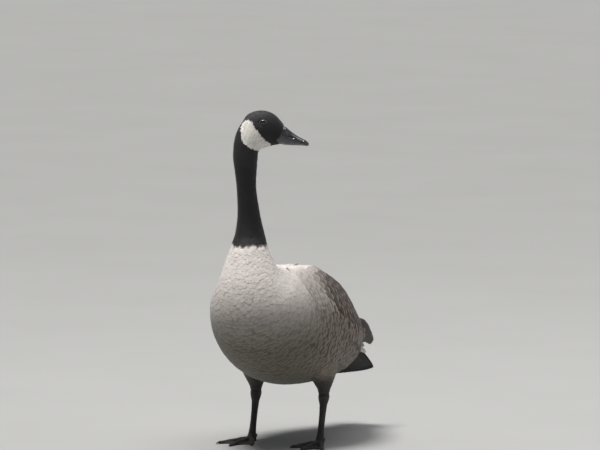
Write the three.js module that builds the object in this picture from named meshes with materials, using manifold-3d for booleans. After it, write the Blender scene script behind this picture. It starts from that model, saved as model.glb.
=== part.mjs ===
// A Canada goose at life size, standing with its neck up and its head turned to its left.
// Units are millimetres. +Z is up, the breast faces -Y and the bird's left side is +X.
// Forward distances in the comments and tables are measured towards the breast, so forward = -y.
import * as THREE from "three";
import { LoftGeometry } from "three/addons/geometries/LoftGeometry.js";
import { mergeVertices } from "three/addons/utils/BufferGeometryUtils.js";
import Module from "manifold-3d";

const wasm = await Module();
wasm.setup();

// Driving dimensions
const GAP = 0.3; // left between neighbouring pieces
const FLATNESS = 0.12; // the most that flattening a joined surface may move it
const EYE_HEIGHT = 599; // of the pupils above the ground
const NECK_FORWARD = 177; // of the upright upper neck, ahead of the middle of the body
const EYE_FORWARD = NECK_FORWARD + 32.3; // with the head facing forward
const HEAD_YAW = 115; // degrees that the head is turned to the left
const EYE_RADIUS = 6;
const PATCH_DEPTH = 4; // of the white cheek patch in the head
const EYE_OUT = 11.4; // from the head's middle plane to the centre of an eye
const ANKLE_OUT = 68; // from the middle plane to each leg
const ANKLE_FORWARD = -12;
const ANKLE_HEIGHT = 86;
const FOOT_FORWARD = 6; // where the tarsus meets the toes
const SHINGLE_LIFT = 1.4; // how far the wing's coverts stand above the pad that they grow from
const VANE_THICKNESS = 0.8;
const PRIMARY_STEP = 1.25; // between one primary and the next below it
const COVERT_ROWS = 4;
const TAIL_FEATHERS = 12;
const TAIL_FAN = 24; // degrees from the middle of the tail to its outermost feather
const TAIL_VANE = 12; // half the width of a tail feather
const TAIL_LENGTH = 120;
const UNDERTAIL_DROP = 14.5; // from the plane of the tail's root to the white coverts below it
const TAIL_ROOT = { forward: -200, height: 189 };
const TAIL_DROOP = 46; // degrees below the horizontal
const TAIL_ROLL = 12; // degrees, left side up
const MIDDLE_BACK = 36.7; // how far behind the body's middle the whole bird's middle lies

const COLOURS = {
  black: 0x17161a,
  white: 0xe9e4df,
  pale: 0xb4aaa0,
  brown: 0x6b5646,
  darkBrown: 0x2b211c,
  horn: 0x26262c,
  eye: 0x1a0f0a,
  skin: 0x2c292c,
};

const radians = THREE.MathUtils.degToRad;
const at = (x, forward, z) => new THREE.Vector3(x, -forward, z);
const smooth = (x) => THREE.MathUtils.smoothstep(x, 0, 1);

// Solids, joins and cuts

function solid(geometry) {
  const bare = new THREE.BufferGeometry();
  bare.setAttribute("position", geometry.getAttribute("position").clone());
  if (geometry.index) bare.setIndex(geometry.index.clone());
  const merged = mergeVertices(bare, 1e-3);
  const kept = [];
  const index = merged.index.array;
  for (let i = 0; i < index.length; i += 3) {
    const [a, b, c] = [index[i], index[i + 1], index[i + 2]];
    if (a !== b && b !== c && a !== c) kept.push(a, b, c);
  }
  const make = (triangles) =>
    new wasm.Manifold(
      new wasm.Mesh({
        numProp: 3,
        vertProperties: new Float32Array(merged.attributes.position.array),
        triVerts: new Uint32Array(triangles),
      }),
    );
  const made = make(kept);
  return made.volume() < 0 ? make(kept.reverse()) : made;
}

const join = (solids) => wasm.Manifold.union(solids);

function largest(whole) {
  const pieces = whole.decompose();
  return pieces.sort((a, b) => b.volume() - a.volume())[0];
}

function geometryOf(whole) {
  const mesh = largest(largest(whole).simplify(FLATNESS)).getMesh();
  const geometry = new THREE.BufferGeometry();
  const positions = new THREE.BufferAttribute(mesh.vertProperties, 3);
  geometry.setAttribute("position", positions);
  geometry.setIndex(new THREE.BufferAttribute(mesh.triVerts, 1));
  geometry.computeVertexNormals();
  return geometry;
}

function piece(name, whole, colour, roughness = 0.7) {
  const material = new THREE.MeshStandardMaterial({ color: colour, roughness, metalness: 0 });
  const mesh = new THREE.Mesh(geometryOf(whole), material);
  mesh.name = name;
  return mesh;
}

const loft = (sections) => solid(new LoftGeometry(sections, { capStart: true, capEnd: true }));

// A closed plate whose two faces are split into the same triangles, so that they never cross.
function plate(rows, columns, top, bottom) {
  const positions = [];
  const index = [];
  for (const face of [top, bottom])
    for (let i = 0; i <= rows; i++)
      for (let j = 0; j <= columns; j++) positions.push(...face(i, j).toArray());
  const number = (face, i, j) => (face * (rows + 1) + i) * (columns + 1) + j;
  for (let i = 0; i < rows; i++)
    for (let j = 0; j < columns; j++) {
      const [a, b] = [number(0, i, j), number(0, i + 1, j)];
      const [c, d] = [number(0, i + 1, j + 1), number(0, i, j + 1)];
      const under = number(1, 0, 0);
      index.push(a, b, c, a, c, d);
      index.push(a + under, c + under, b + under, a + under, d + under, c + under);
    }
  const rim = [];
  for (let j = 0; j < columns; j++) rim.push([0, j]);
  for (let i = 0; i < rows; i++) rim.push([i, columns]);
  for (let j = columns; j > 0; j--) rim.push([rows, j]);
  for (let i = rows; i > 0; i--) rim.push([i, 0]);
  rim.forEach(([i, j], n) => {
    const [k, m] = rim[(n + 1) % rim.length];
    const [a, b, c, d] = [number(0, i, j), number(0, k, m), number(1, k, m), number(1, i, j)];
    index.push(a, b, c, a, c, d);
  });
  const geometry = new THREE.BufferGeometry();
  geometry.setAttribute("position", new THREE.Float32BufferAttribute(positions, 3));
  geometry.setIndex(index);
  return solid(geometry);
}

function ball(centre, radii, tilt = new THREE.Matrix4(), sides = 20) {
  const geometry = new THREE.SphereGeometry(1, sides, Math.round(sides / 2));
  geometry.scale(...radii);
  geometry.applyMatrix4(tilt);
  geometry.translate(...centre.toArray());
  return solid(geometry);
}

// An outline in the middle plane, given as [forward, height], stretched across the whole width.
function slab(outline, halfWidth) {
  const shape = new THREE.Shape(outline.map(([f, z]) => new THREE.Vector2(f, z)));
  const geometry = new THREE.ExtrudeGeometry(shape, { depth: 2 * halfWidth, bevelEnabled: false });
  const sideways = new THREE.Matrix4().makeBasis(at(0, 1, 0), at(0, 0, 1), at(-1, 0, 0));
  geometry.translate(0, 0, -halfWidth);
  geometry.applyMatrix4(sideways);
  return solid(geometry);
}

// The skin of head, neck and torso

// Each cross-section runs from a dorsal to a ventral point, both [forward, height], and has a
// half-width and the share of its depth at which it is widest. The head faces forward here.
const onHead = (u, v) => [EYE_FORWARD + u, EYE_HEIGHT + v];
const SKIN = [
  ["bill base", onHead(37.6, -5.5), onHead(33, -39.3), 11.5, 0.42],
  ["lores", onHead(31.6, 2.2), onHead(27, -40.3), 13.5, 0.42],
  ["forehead", onHead(21, 13), onHead(20, -41.5), 15.5, 0.45],
  ["eyes", onHead(6, 19.5), onHead(13, -43), 17, 0.48],
  ["crown", onHead(-11, 19.8), onHead(7, -45.2), 18.5, 0.45],
  ["back of crown", onHead(-27, 13.5), onHead(2, -46.5), 19.5, 0.45],
  ["cheeks", onHead(-39, -3), onHead(-3, -48), 20, 0.48],
  ["nape", onHead(-47, -18), onHead(-7.5, -51.5), 20, 0.5],
  ["throat", onHead(-52, -36), onHead(-9.5, -58), 20.5, 0.5],
  ["head end", onHead(-53.8, -62), onHead(-10.8, -72), 20.5, 0.5],
  ["upper neck", [154.5, 486], [189.5, 482], 17.5, 0.5],
  ["middle neck", [142, 438], [182, 434], 19.5, 0.5],
  ["lower neck", [131, 398], [184, 396], 26, 0.5],
  ["black end", [126, 368], [193, 373], 34.5, 0.5],
  ["neck base", [117, 350], [201, 344], 44, 0.5],
  ["neck root", [108, 340], [211, 306], 54, 0.5],
  ["upper breast", [97, 335.5], [215, 268], 66, 0.52],
  ["breast", [83, 333], [209, 232], 80, 0.55],
  ["lower breast", [65, 331], [187, 192], 92, 0.56],
  ["shoulders", [42, 327], [150, 158], 102, 0.55],
  ["keel", [14, 320], [100, 130], 109, 0.52],
  ["middle", [-18, 309], [46, 113], 112, 0.49],
  ["belly", [-52, 294], [-6, 107], 111, 0.46],
  ["loins", [-88, 275], [-62, 107], 106, 0.43],
  ["hips", [-124, 253], [-110, 113], 94, 0.42],
  ["rump", [-158, 229], [-150, 128], 76, 0.42],
  ["vent", [-184, 208], [-180, 150], 55, 0.45],
  ["tail root", [-198, 196], [-198, 166], 41, 0.5],
];
const HEAD_END = 9;
const NECK_SPLIT = 11;
const BLACK_END = 13;
const SKIN_END = SKIN.length - 1;
const rail = (points) => new THREE.CatmullRomCurve3(points, false, "catmullrom", 0.5);
const dorsal = rail(SKIN.map(([, [f, z]]) => at(0, f, z)));
const ventral = rail(SKIN.map(([, , [f, z]]) => at(0, f, z)));
const girth = rail(SKIN.map(([, , , halfWidth, widest]) => new THREE.Vector3(halfWidth, widest, 0)));

// The neck turns the head: the yaw falls from the head's own to none at the end of the black.
const yawAt = (t) => HEAD_YAW * (1 - smooth((t - HEAD_END) / (BLACK_END - HEAD_END)));

function skinSection(t, sides, { grow = 0, turned = true } = {}) {
  const [top, bottom] = [dorsal.getPoint(t / SKIN_END), ventral.getPoint(t / SKIN_END)];
  const { x: halfWidth, y: widest } = girth.getPoint(t / SKIN_END);
  const up = top.clone().sub(bottom).normalize();
  top.addScaledVector(up, grow);
  bottom.addScaledVector(up, -grow);
  const centre = bottom.clone().lerp(top, widest);
  const axis = t <= HEAD_END ? at(0, NECK_FORWARD, 0) : bottom.clone().lerp(top, 0.5).setZ(0);
  const section = [];
  for (let k = 0; k < sides; k++) {
    const angle = (2 * Math.PI * k) / sides;
    const point = centre.clone().lerp(Math.cos(angle) > 0 ? top : bottom, Math.abs(Math.cos(angle)));
    point.x = (halfWidth + grow) * Math.sin(angle);
    if (turned) point.sub(axis).applyAxisAngle(at(0, 0, 1), radians(yawAt(t))).add(axis);
    section.push(point);
  }
  return section;
}

function skinStretch(from, to, steps, sides, options) {
  const sections = [];
  for (let i = 0; i <= steps; i++) {
    sections.push(skinSection(THREE.MathUtils.lerp(from, to, i / steps), sides, options));
  }
  return loft(sections);
}

// The station that lies one gap further down the bird than station t.
function pastGap(t) {
  const step = 0.01;
  const middle = (s) => dorsal.getPoint(s / SKIN_END).lerp(ventral.getPoint(s / SKIN_END), 0.5);
  return t + (step * 1.3 * GAP) / middle(t).distanceTo(middle(t + step));
}

const TORSO_SIDES = 32;
const torsoSkin = (grow) => skinStretch(pastGap(BLACK_END), SKIN_END, 24, TORSO_SIDES, { grow });
const clearOfTorso = torsoSkin(1.3 * GAP);

function neckPieces() {
  const upper = skinStretch(pastGap(HEAD_END), NECK_SPLIT, 7, 24);
  const lower = skinStretch(pastGap(NECK_SPLIT), BLACK_END, 5, 24);
  return [piece("neck_upper", upper, COLOURS.black), piece("neck_lower", lower, COLOURS.black)];
}

// Head, modelled facing forward in a frame whose origin is on the neck's axis

const inHead = (x, u, v) => at(x, EYE_FORWARD - NECK_FORWARD + u, EYE_HEIGHT + v);
const headOutline = (points) => points.map(([u, v]) => [EYE_FORWARD - NECK_FORWARD + u, EYE_HEIGHT + v]);

// A flat outline, scaled about the middle of its points.
function enlarged(outline, factor) {
  const count = outline.length;
  const middle = outline.reduce(([u, v], [a, b]) => [u + a / count, v + b / count], [0, 0]);
  return outline.map((point) => point.map((value, n) => middle[n] + (value - middle[n]) * factor));
}

// The white cheek patch seen from the side, [ahead of the eye, above the eye].
const CHEEK_PATCH = [
  [-29, 6.8], [-22, 5.8], [-16, 1], [-12, -5.5], [-8, -13], [-1, -21.8], [6.5, -30.5], [15.8, -38.2],
  [18, -48], [-2, -56], [-13.1, -50.5], [-21.8, -45.8], [-29.4, -40.9], [-34.9, -33.8],
  [-37.3, -25], [-38.4, -14.2], [-38.8, -7], [-36.5, 0.5],
];

// Bill sections: [ahead of the eye, culmen height, lower edge height, half-width].
const BILL = [
  [24, -9, -38.5, 12.7],
  [32, -6.6, -40, 12.9],
  [40, -9, -41.4, 12],
  [50, -17.2, -42, 10.9],
  [61, -25, -42.2, 10.2],
  [71, -30.6, -42.6, 9.4],
  [78, -35, -43.2, 7],
  [81.6, -38.6, -42.6, 3.4],
];
const MOUTH = [
  [10, -35.2], [22, -35.2], [34, -36.2], [45, -37.6], [61, -39.6], [75, -41], [90, -41.6],
];

function billSolid(grow) {
  const culmen = rail(BILL.map(([u, top]) => inHead(0, u, top)));
  const under = rail(BILL.map(([u, , bottom]) => inHead(0, u, bottom)));
  const width = rail(BILL.map(([, , , halfWidth]) => new THREE.Vector3(halfWidth, 0, 0)));
  const sections = [];
  const steps = 10;
  for (let i = 0; i <= steps; i++) {
    const [top, bottom] = [culmen.getPoint(i / steps), under.getPoint(i / steps)];
    top.z += grow;
    bottom.z -= grow;
    const widest = bottom.clone().lerp(top, 0.38);
    const section = [];
    for (let k = 0; k < 20; k++) {
      const angle = (Math.PI * k) / 10;
      const point = widest.clone().lerp(Math.cos(angle) > 0 ? top : bottom, Math.abs(Math.cos(angle)));
      point.x = (width.getPoint(i / steps).x + grow) * Math.sin(angle);
      section.push(point);
    }
    sections.unshift(section);
  }
  return loft(sections);
}

function belowMouth(lower) {
  const line = MOUTH.map(([u, v]) => [u, v - lower]);
  return slab(headOutline([...line, [90, -70], [10, -70]]), 40);
}

function headPieces() {
  const eyes = [1, -1].map((side) => inHead(side * EYE_OUT, 0, 0));
  const lids = [1, -1].map((side) => {
    const ring = new THREE.TorusGeometry(EYE_RADIUS + 0.3, 1.15, 5, 16);
    ring.scale(1.08, 0.95, 1);
    ring.rotateY(Math.PI / 2);
    ring.rotateY(side * radians(-6));
    ring.translate(...inHead(side * (EYE_OUT + 3.6), 0, 0).toArray());
    return solid(ring);
  });
  const sockets = eyes.map((eye) => ball(eye, Array(3).fill(EYE_RADIUS + GAP), undefined, 16));
  const flesh = skinStretch(0, HEAD_END, 15, 26, { turned: false });
  const placed = flesh.translate([0, NECK_FORWARD, 0]);
  const whole = join([placed, ...lids]).subtract(join([...sockets, billSolid(GAP)]));
  const core = (grow) => {
    const inner = skinStretch(0, HEAD_END, 8, 14, { turned: false, grow });
    return inner.translate([0, NECK_FORWARD, 0]);
  };
  const patchHole = slab(headOutline(enlarged(CHEEK_PATCH, 1.013)), 40);
  const head = whole.subtract(patchHole.subtract(core(-PATCH_DEPTH - GAP)));
  const strap = whole.intersect(slab(headOutline(CHEEK_PATCH), 40)).subtract(core(-PATCH_DEPTH));

  const slope = new THREE.Matrix4().makeRotationX(radians(24));
  const nostrils = [1, -1].map((side) => ball(inHead(side * 9, 48.5, -26), [5, 6.4, 1.7], slope, 8));
  const nailTilt = new THREE.Matrix4().makeRotationX(radians(26));
  const nail = ball(inHead(0, 77.4, -38.8), [5.2, 5.4, 3.6], nailTilt, 10);
  const bill = join([billSolid(0), nail]);
  const upperBill = bill.subtract(join([belowMouth(-GAP / 2), ...nostrils]));
  const lowerBill = bill.intersect(belowMouth(GAP / 2 + 0.05));

  const group = new THREE.Group();
  group.position.set(0, -NECK_FORWARD, 0);
  group.rotation.z = radians(HEAD_YAW);
  group.add(
    piece("head", head, COLOURS.black),
    piece("chinstrap", strap, COLOURS.white),
    piece("bill_upper", upperBill, COLOURS.horn, 0.35),
    piece("bill_lower", lowerBill, COLOURS.horn, 0.35),
    piece("eye_left", ball(eyes[0], Array(3).fill(EYE_RADIUS), undefined, 16), COLOURS.eye, 0.05),
    piece("eye_right", ball(eyes[1], Array(3).fill(EYE_RADIUS), undefined, 16), COLOURS.eye, 0.05),
  );
  return group;
}

// Wings, folded on the back

// Each cross-section of the left wing lies across the bird at one forward distance. It gives,
// as [x, height], the ridge, roof edge, shoulder, side and lower edge of the folded wing.
const WING = [
  [108, [70, 302], [79, 292], [86, 277], [90, 256], [88, 240]],
  [85, [45, 328], [69, 319], [90, 293], [104, 258], [101, 228]],
  [55, [18, 334], [64, 328], [93, 296], [112, 252], [109, 212]],
  [20, [3, 327], [62, 327], [96, 293], [117, 243], [112, 196]],
  [-16, [0.4, 323], [60, 315], [95, 280], [117, 230], [113, 186]],
  [-50, [0.4, 316], [60, 303], [93, 268], [115, 218], [111, 177]],
  [-80, [0.4, 301], [58, 290], [88, 257], [109, 208], [106, 171]],
  [-114, [0.4, 278], [55, 269], [78, 241], [98, 199], [94, 165]],
  [-152, [1, 253], [50, 248], [68, 223], [82, 189], [77, 163]],
  [-180, [4, 230], [45, 225], [58, 206], [67, 181], [61, 161]],
  [-206, [10, 213], [42, 208], [50, 194], [55, 176], [50, 160]],
  [-236, [20, 203], [44, 202], [51, 191], [53, 175], [49, 161]],
  [-264, [26, 188], [43, 187], [49, 177], [50, 164], [47, 153]],
  [-290, [32, 172], [41, 172], [45, 165], [45, 157], [42, 148]],
];
const WING_END = WING.length - 1;
const PAD_END = 10.2; // the station where the wing's flesh and coverts stop
const wingRail = (n) => rail(WING.map((row) => at(row[n][0], row[0], row[n][1])));
const wingRails = [1, 2, 3, 4, 5].map(wingRail);

function wingRow(t) {
  const share = THREE.MathUtils.clamp(t / WING_END, 0, 1);
  return rail(wingRails.map((curve) => curve.getPoint(share)));
}

// A point of the wing's outer surface: t is a station, across runs from ridge 0 to lower edge 1.
function wingPoint(t, across, lift = 0) {
  const held = THREE.MathUtils.clamp(t, 0.05, WING_END - 0.05);
  const edge = THREE.MathUtils.clamp(across, 0, 1);
  const row = wingRow(held);
  const point = wingRow(t).getPoint(edge);
  const down = row.getTangent(edge);
  if (across !== edge) point.addScaledVector(down, (across - edge) * row.getLength());
  if (lift === 0) return point;
  const back = wingRow(held + 0.04).getPoint(edge).sub(wingRow(held - 0.04).getPoint(edge));
  return point.addScaledVector(down.cross(back).normalize(), lift);
}

function wingPad() {
  const sections = [];
  const steps = 12;
  for (let i = 0; i <= steps; i++) {
    const t = (PAD_END * i) / steps;
    const section = [];
    for (let k = 0; k <= 7; k++) section.push(wingPoint(t, k / 7, -SHINGLE_LIFT));
    const [ridge, edge] = [section[0], section[7]];
    const depth = 16 - 8 * smooth((t - 8) / 2);
    ridge.x = Math.max(ridge.x, 0.4);
    section.push(at(Math.max(edge.x - 1.6 * depth, 20), -edge.y, edge.z + depth));
    section.push(at(ridge.x + 0.02, -ridge.y, ridge.z - 1.2 * depth));
    sections.push(section);
  }
  return loft(sections);
}

// A feather on the wing, from its root to its tip, both [station, across]. Its end is rounded.
// A shingle is bedded in the pad, and a vane stands free of it, as thick as real vanes are.
const SHINGLE = [[0, 0.85], [0.74, 1], [1, 0.4]]; // [along, share of the half-width]
const VANE = [[0, 0.8], [0.55, 1], [0.86, 0.8], [1, 0.26]];

function wingFeather(root, tip, halfWidth, { lift = 0, tilt = 0, free = false }) {
  const rows = free ? VANE : SHINGLE;
  const face = (under) => (i, j) => {
    const [s, wide] = rows[i];
    const aside = (j - 1) * wide * halfWidth;
    const t = THREE.MathUtils.lerp(root[0], tip[0], s);
    const across = THREE.MathUtils.lerp(root[1], tip[1], s) + aside / wingRow(t).getLength();
    const top = lift - (free ? 0 : SHINGLE_LIFT * (1 - smooth(2 * s))) + tilt * aside;
    const bottom = free ? top - VANE_THICKNESS : -SHINGLE_LIFT - 2.5;
    return wingPoint(t, across, under ? bottom : top);
  };
  return plate(rows.length - 1, 2, face(false), face(true));
}

const mirrored = (whole, side) => (side > 0 ? whole : whole.mirror([1, 0, 0]));
const sides = [["left", 1], ["right", -1]];

function coverts() {
  const shingles = [];
  for (let row = 0; row < COVERT_ROWS; row++)
    for (let n = 0; n < 4; n++) {
      const across = 0.5 + 0.14 * n + 0.07 * (row % 2);
      const t = 0.8 + 1.55 * row + 0.12 * n;
      shingles.push(wingFeather([t, across - 0.03], [t + 2.05, across + 0.02], 17, { tilt: 0.03 }));
    }
  return shingles;
}

function scapulars() {
  const shingles = [];
  for (let row = 0; row < 3; row++)
    for (let n = 0; n < 3; n++) {
      const across = 0.11 + 0.15 * n + 0.05 * (row % 2);
      const t = 1.3 + 1.75 * row + 0.2 * n;
      shingles.push(wingFeather([t, across], [t + 2.4, across], 20, { lift: 0.5, tilt: -0.02 }));
    }
  return shingles;
}

// The long feathers of the folded wing, each lower in the stack than the one before it.
function flightFeathers() {
  const vanes = [];
  for (let n = 0; n < 3; n++) {
    const root = [6.4 + 0.4 * n, 0.16 + 0.18 * n];
    const tip = [10.6 + 0.5 * n, 0.2 + 0.16 * n];
    vanes.push(wingFeather(root, tip, 17, { lift: 0.7 - 0.5 * n, tilt: -0.02 }));
  }
  for (let n = 0; n < 5; n++) {
    const drop = -1.6 - PRIMARY_STEP * n;
    const tip = [11.8 + 0.38 * n, 0.36 + 0.03 * n];
    vanes.push(wingFeather([9.8, 0.36], tip, 21 - 1.4 * n, { lift: drop, free: true }));
  }
  return vanes;
}

function wings() {
  const outer = join([wingPad(), ...coverts(), ...scapulars(), ...flightFeathers()]);
  return sides.map(([name, side]) => {
    const wing = mirrored(outer, side).subtract(clearOfTorso);
    return piece(`wing_${name}`, wing, COLOURS.brown);
  });
}

// Tail

function tailFrame(whole) {
  const turn = new THREE.Matrix4()
    .makeTranslation(0, -TAIL_ROOT.forward, TAIL_ROOT.height)
    .multiply(new THREE.Matrix4().makeRotationX(radians(-TAIL_DROOP)))
    .multiply(new THREE.Matrix4().makeRotationY(radians(-TAIL_ROLL)));
  return whole.transform(turn.toArray());
}

// One tail feather lies along +Y from the root, fanned out by its angle.
function tailFeather(fan, length) {
  const rows = [[0, 0.7], [0.5, 1], [0.86, 0.95], [1, 0.45]];
  const drop = (s) => (2 + 8 * Math.abs(fan)) * (0.3 + s) + (fan < 0 ? 0.5 : 0);
  const face = (thickness) => (i, j) => {
    const [s, wide] = rows[i];
    const height = -drop(s) - 5 * fan ** 2 * s - 0.9 * Math.abs(j - 1) - thickness;
    return new THREE.Vector3(TAIL_VANE * wide * (j - 1), s * length, height)
      .applyAxisAngle(new THREE.Vector3(0, 0, 1), radians(-TAIL_FAN * fan));
  };
  return plate(rows.length - 1, 2, face(0), face(VANE_THICKNESS));
}

function tail() {
  const feathers = [];
  for (let n = 0; n < TAIL_FEATHERS; n++) {
    const fan = (2 * n) / (TAIL_FEATHERS - 1) - 1;
    feathers.push(tailFeather(fan, TAIL_LENGTH - 14 * Math.abs(fan) ** 1.6));
  }
  const root = (grow) => ball(new THREE.Vector3(0, 6, -4), [19 + grow, 28 + grow, 8 + grow], undefined, 16);
  const under = ball(new THREE.Vector3(0, 16, -14), [25, 50, 11], undefined, 16);
  const above = solid(new THREE.BoxGeometry(90, 200, 40)).translate([0, 0, 20 - UNDERTAIL_DROP]);
  const whole = tailFrame(join([root(0), ...feathers])).subtract(clearOfTorso);
  const coverts = tailFrame(under.subtract(join([above, root(GAP)]))).subtract(clearOfTorso);
  return [piece("tail", whole, COLOURS.black), piece("undertail", coverts, COLOURS.white)];
}

// Legs and feet

const ring = (centre, halfWidth, halfLength, count = 14) =>
  Array.from({ length: count }, (_, k) => {
    const angle = (2 * Math.PI * k) / count;
    return centre.clone().add(at(-halfWidth * Math.sin(angle), halfLength * Math.cos(angle), 0));
  });

// The feathered shin: [height, out, forward, half-width, half-length].
const THIGH = [
  [175, 62, 2, 34, 44],
  [150, 64, -2, 31, 40],
  [132, 66, -7, 25, 32],
  [114, 67.4, -10, 17, 21],
  [102, ANKLE_OUT, ANKLE_FORWARD, 11.5, 14],
  [95.3, ANKLE_OUT, ANKLE_FORWARD, 9.6, 11.5],
];

const thigh = () => loft(THIGH.map(([z, x, f, w, l]) => ring(at(x, f, z), w, l)));

// The bare leg: [height, share of the way from ankle to foot, half-width, half-length].
const TARSUS = [
  [95, 0, 8.4, 9.6],
  [91, 0, 9.6, 11.2],
  [86, 0, 10.2, 12],
  [80, 0.05, 9.2, 10.6],
  [72, 0.12, 6.8, 8.4],
  [56, 0.32, 5.8, 7.4],
  [38, 0.56, 5.5, 7],
  [24, 0.76, 5.9, 7.4],
  [15, 0.9, 6.8, 8.6],
  [12.3, 0.94, 7, 9],
];

function tarsus() {
  const forward = (share) => THREE.MathUtils.lerp(ANKLE_FORWARD, FOOT_FORWARD, share);
  return loft(TARSUS.map(([z, share, w, l]) => ring(at(ANKLE_OUT, forward(share), z), w, l)));
}

// Toes: [splay to the outside, length, half-width, height at the root]. They lie on the floor.
const TOES = [
  [-25, 64, 5.2, 11],
  [2, 82, 5.6, 12],
  [29, 72, 5.2, 11],
];
const CLAW_LENGTH = 9;

// A claw or toe is a row of flat-soled cross-sections: [forward, half-width, height, sole].
function flatSoled(rows, splay) {
  const profile = [[0.8, 0], [1, 0.35], [0.75, 0.8], [0, 1], [-0.75, 0.8], [-1, 0.35], [-0.8, 0]];
  return loft(
    rows.map(([forward, w, h, sole]) =>
      profile
        .map(([x, z]) => at(w * x, forward, sole + h * z))
        .reverse()
        .map((point) => point.applyAxisAngle(at(0, 0, 1), radians(splay))),
    ).reverse(),
  );
}

// A toe swells at each joint: [share of its length, share of its width, share of its height].
const TOE_HEEL = [-6, 0.8, 0.9]; // the first number is in millimetres
const TOE_JOINTS = [
  [0, 1, 1],
  [0.18, 0.85, 0.86],
  [0.34, 0.98, 0.86],
  [0.5, 0.78, 0.72],
  [0.66, 0.92, 0.7],
  [0.82, 0.72, 0.58],
  [0.94, 0.72, 0.54],
  [1, 0.5, 0.4],
];

function toe([splay, length, w, h]) {
  const rows = [TOE_HEEL, ...TOE_JOINTS.map(([s, a, b]) => [s * length, a, b])];
  return flatSoled(rows.map(([forward, a, b]) => [forward, w * a, h * b, 0]), splay);
}

function claw([splay, length]) {
  const rows = [
    [length - 3, 3.1, 5, 1.2],
    [length + 1, 2.9, 4.4, 1.2],
    [length + 5, 2, 3, 1],
    [length + CLAW_LENGTH, 0.5, 0.7, 0.4],
  ];
  return flatSoled(rows, splay);
}

// The web hangs between two toes, and its front edge curves in.
function web(from, to) {
  const reach = (toeRow, s) => {
    const angle = radians(toeRow[0]);
    return at(Math.sin(angle) * s * toeRow[1], Math.cos(angle) * s * toeRow[1], 0);
  };
  const point = (z) => (i, j) => {
    const bay = 1 - 0.17 * Math.sin((Math.PI * j) / 4);
    const s = 0.04 + (i / 4) * (0.93 * bay - 0.04);
    return reach(from, s).lerp(reach(to, s), j / 4).setZ(z);
  };
  return plate(4, 4, point(2.6), point(0.9));
}

// The ball of the foot and the short hind toe's pad: [height, half-width, half-length].
const HUB = [[12, 7.2, 9], [7, 8.2, 10.5], [0, 7.4, 9.5]];
const HEEL = [[11.6, 3.4, 9], [9, 4, 9], [5, 2.6, 9]];
const HEEL_BACK = -12;

function foot() {
  const hub = loft(HUB.map(([z, w, l]) => ring(at(0, 0, z), w, l)));
  const heel = loft(HEEL.map(([z, w, l]) => ring(at(0, HEEL_BACK, z), w, l, 10)));
  const webs = [web(TOES[0], TOES[1]), web(TOES[1], TOES[2])];
  const whole = join([hub, heel, ...TOES.map(toe), ...TOES.map(claw), ...webs]);
  return whole.translate([ANKLE_OUT, -FOOT_FORWARD, 0]);
}

const goose = new THREE.Group();
goose.position.set(0, -MIDDLE_BACK, 0);
goose.add(piece("torso", torsoSkin(0), COLOURS.pale), ...neckPieces(), headPieces());
goose.add(...wings(), ...tail());
for (const [name, side] of sides) {
  goose.add(
    piece(`thigh_${name}`, mirrored(thigh(), side).subtract(clearOfTorso), COLOURS.pale),
    piece(`leg_${name}`, mirrored(tarsus(), side), COLOURS.skin),
    piece(`foot_${name}`, mirrored(foot(), side), COLOURS.skin),
  );
}

export default goose;
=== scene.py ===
# %% [markdown]
# # A Canada goose, life size, as a still museum model
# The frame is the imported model: +Z up, the breast facing -Y, the left side at +X.
# Everything below is in metres in that frame. Tables are in millimetres and are scaled once,
# because that is how a bird is measured.
#
# The plumage could be a pattern on a smooth body, or hair strands. Here it is feather meshes,
# because only they give the scalloped rows and can be exported as they are.

# %% The frame
import math

import bpy
import numpy as np
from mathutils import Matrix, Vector


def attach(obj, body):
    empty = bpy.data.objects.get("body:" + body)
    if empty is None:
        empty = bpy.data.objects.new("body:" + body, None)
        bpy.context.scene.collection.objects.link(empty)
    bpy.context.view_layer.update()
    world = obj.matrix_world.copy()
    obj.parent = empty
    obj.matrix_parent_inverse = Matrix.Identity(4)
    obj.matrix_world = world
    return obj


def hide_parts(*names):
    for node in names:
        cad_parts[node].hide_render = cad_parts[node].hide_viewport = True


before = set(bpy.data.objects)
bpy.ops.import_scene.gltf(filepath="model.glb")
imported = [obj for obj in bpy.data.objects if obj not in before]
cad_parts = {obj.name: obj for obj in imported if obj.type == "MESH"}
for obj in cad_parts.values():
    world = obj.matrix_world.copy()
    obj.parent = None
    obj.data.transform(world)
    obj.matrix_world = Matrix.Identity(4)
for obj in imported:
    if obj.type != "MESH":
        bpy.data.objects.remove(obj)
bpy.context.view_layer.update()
MM = 0.001
FULL_TURN = 2 * math.pi
dice = np.random.default_rng(7)

# %% [markdown]
# ## The bird's measures
# From bill to tail a goose's outline is one smooth curve above and another below. It could be
# sculpted, which needs thousands of points. Here each station gives a dorsal and a ventral point
# [forward, height], a half-width, and the share of the depth at which the section is widest. A
# spline through so few stations is smooth by itself. They are the stations of the solids too.

# %% Stations of head, neck and body, with the head facing forward
EYE_HEIGHT = 599
NECK_FORWARD = 177
EYE_FORWARD = NECK_FORWARD + 32.3
MIDDLE_BACK = 36.7
HEAD_YAW = math.radians(115)
HEAD_END, BLACK_END, BREAST = 9, 13, 17


def on_head(u, v):
    """A point ahead of the eye and above it, as [forward, height]."""
    return (EYE_FORWARD + u, EYE_HEIGHT + v)


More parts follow.
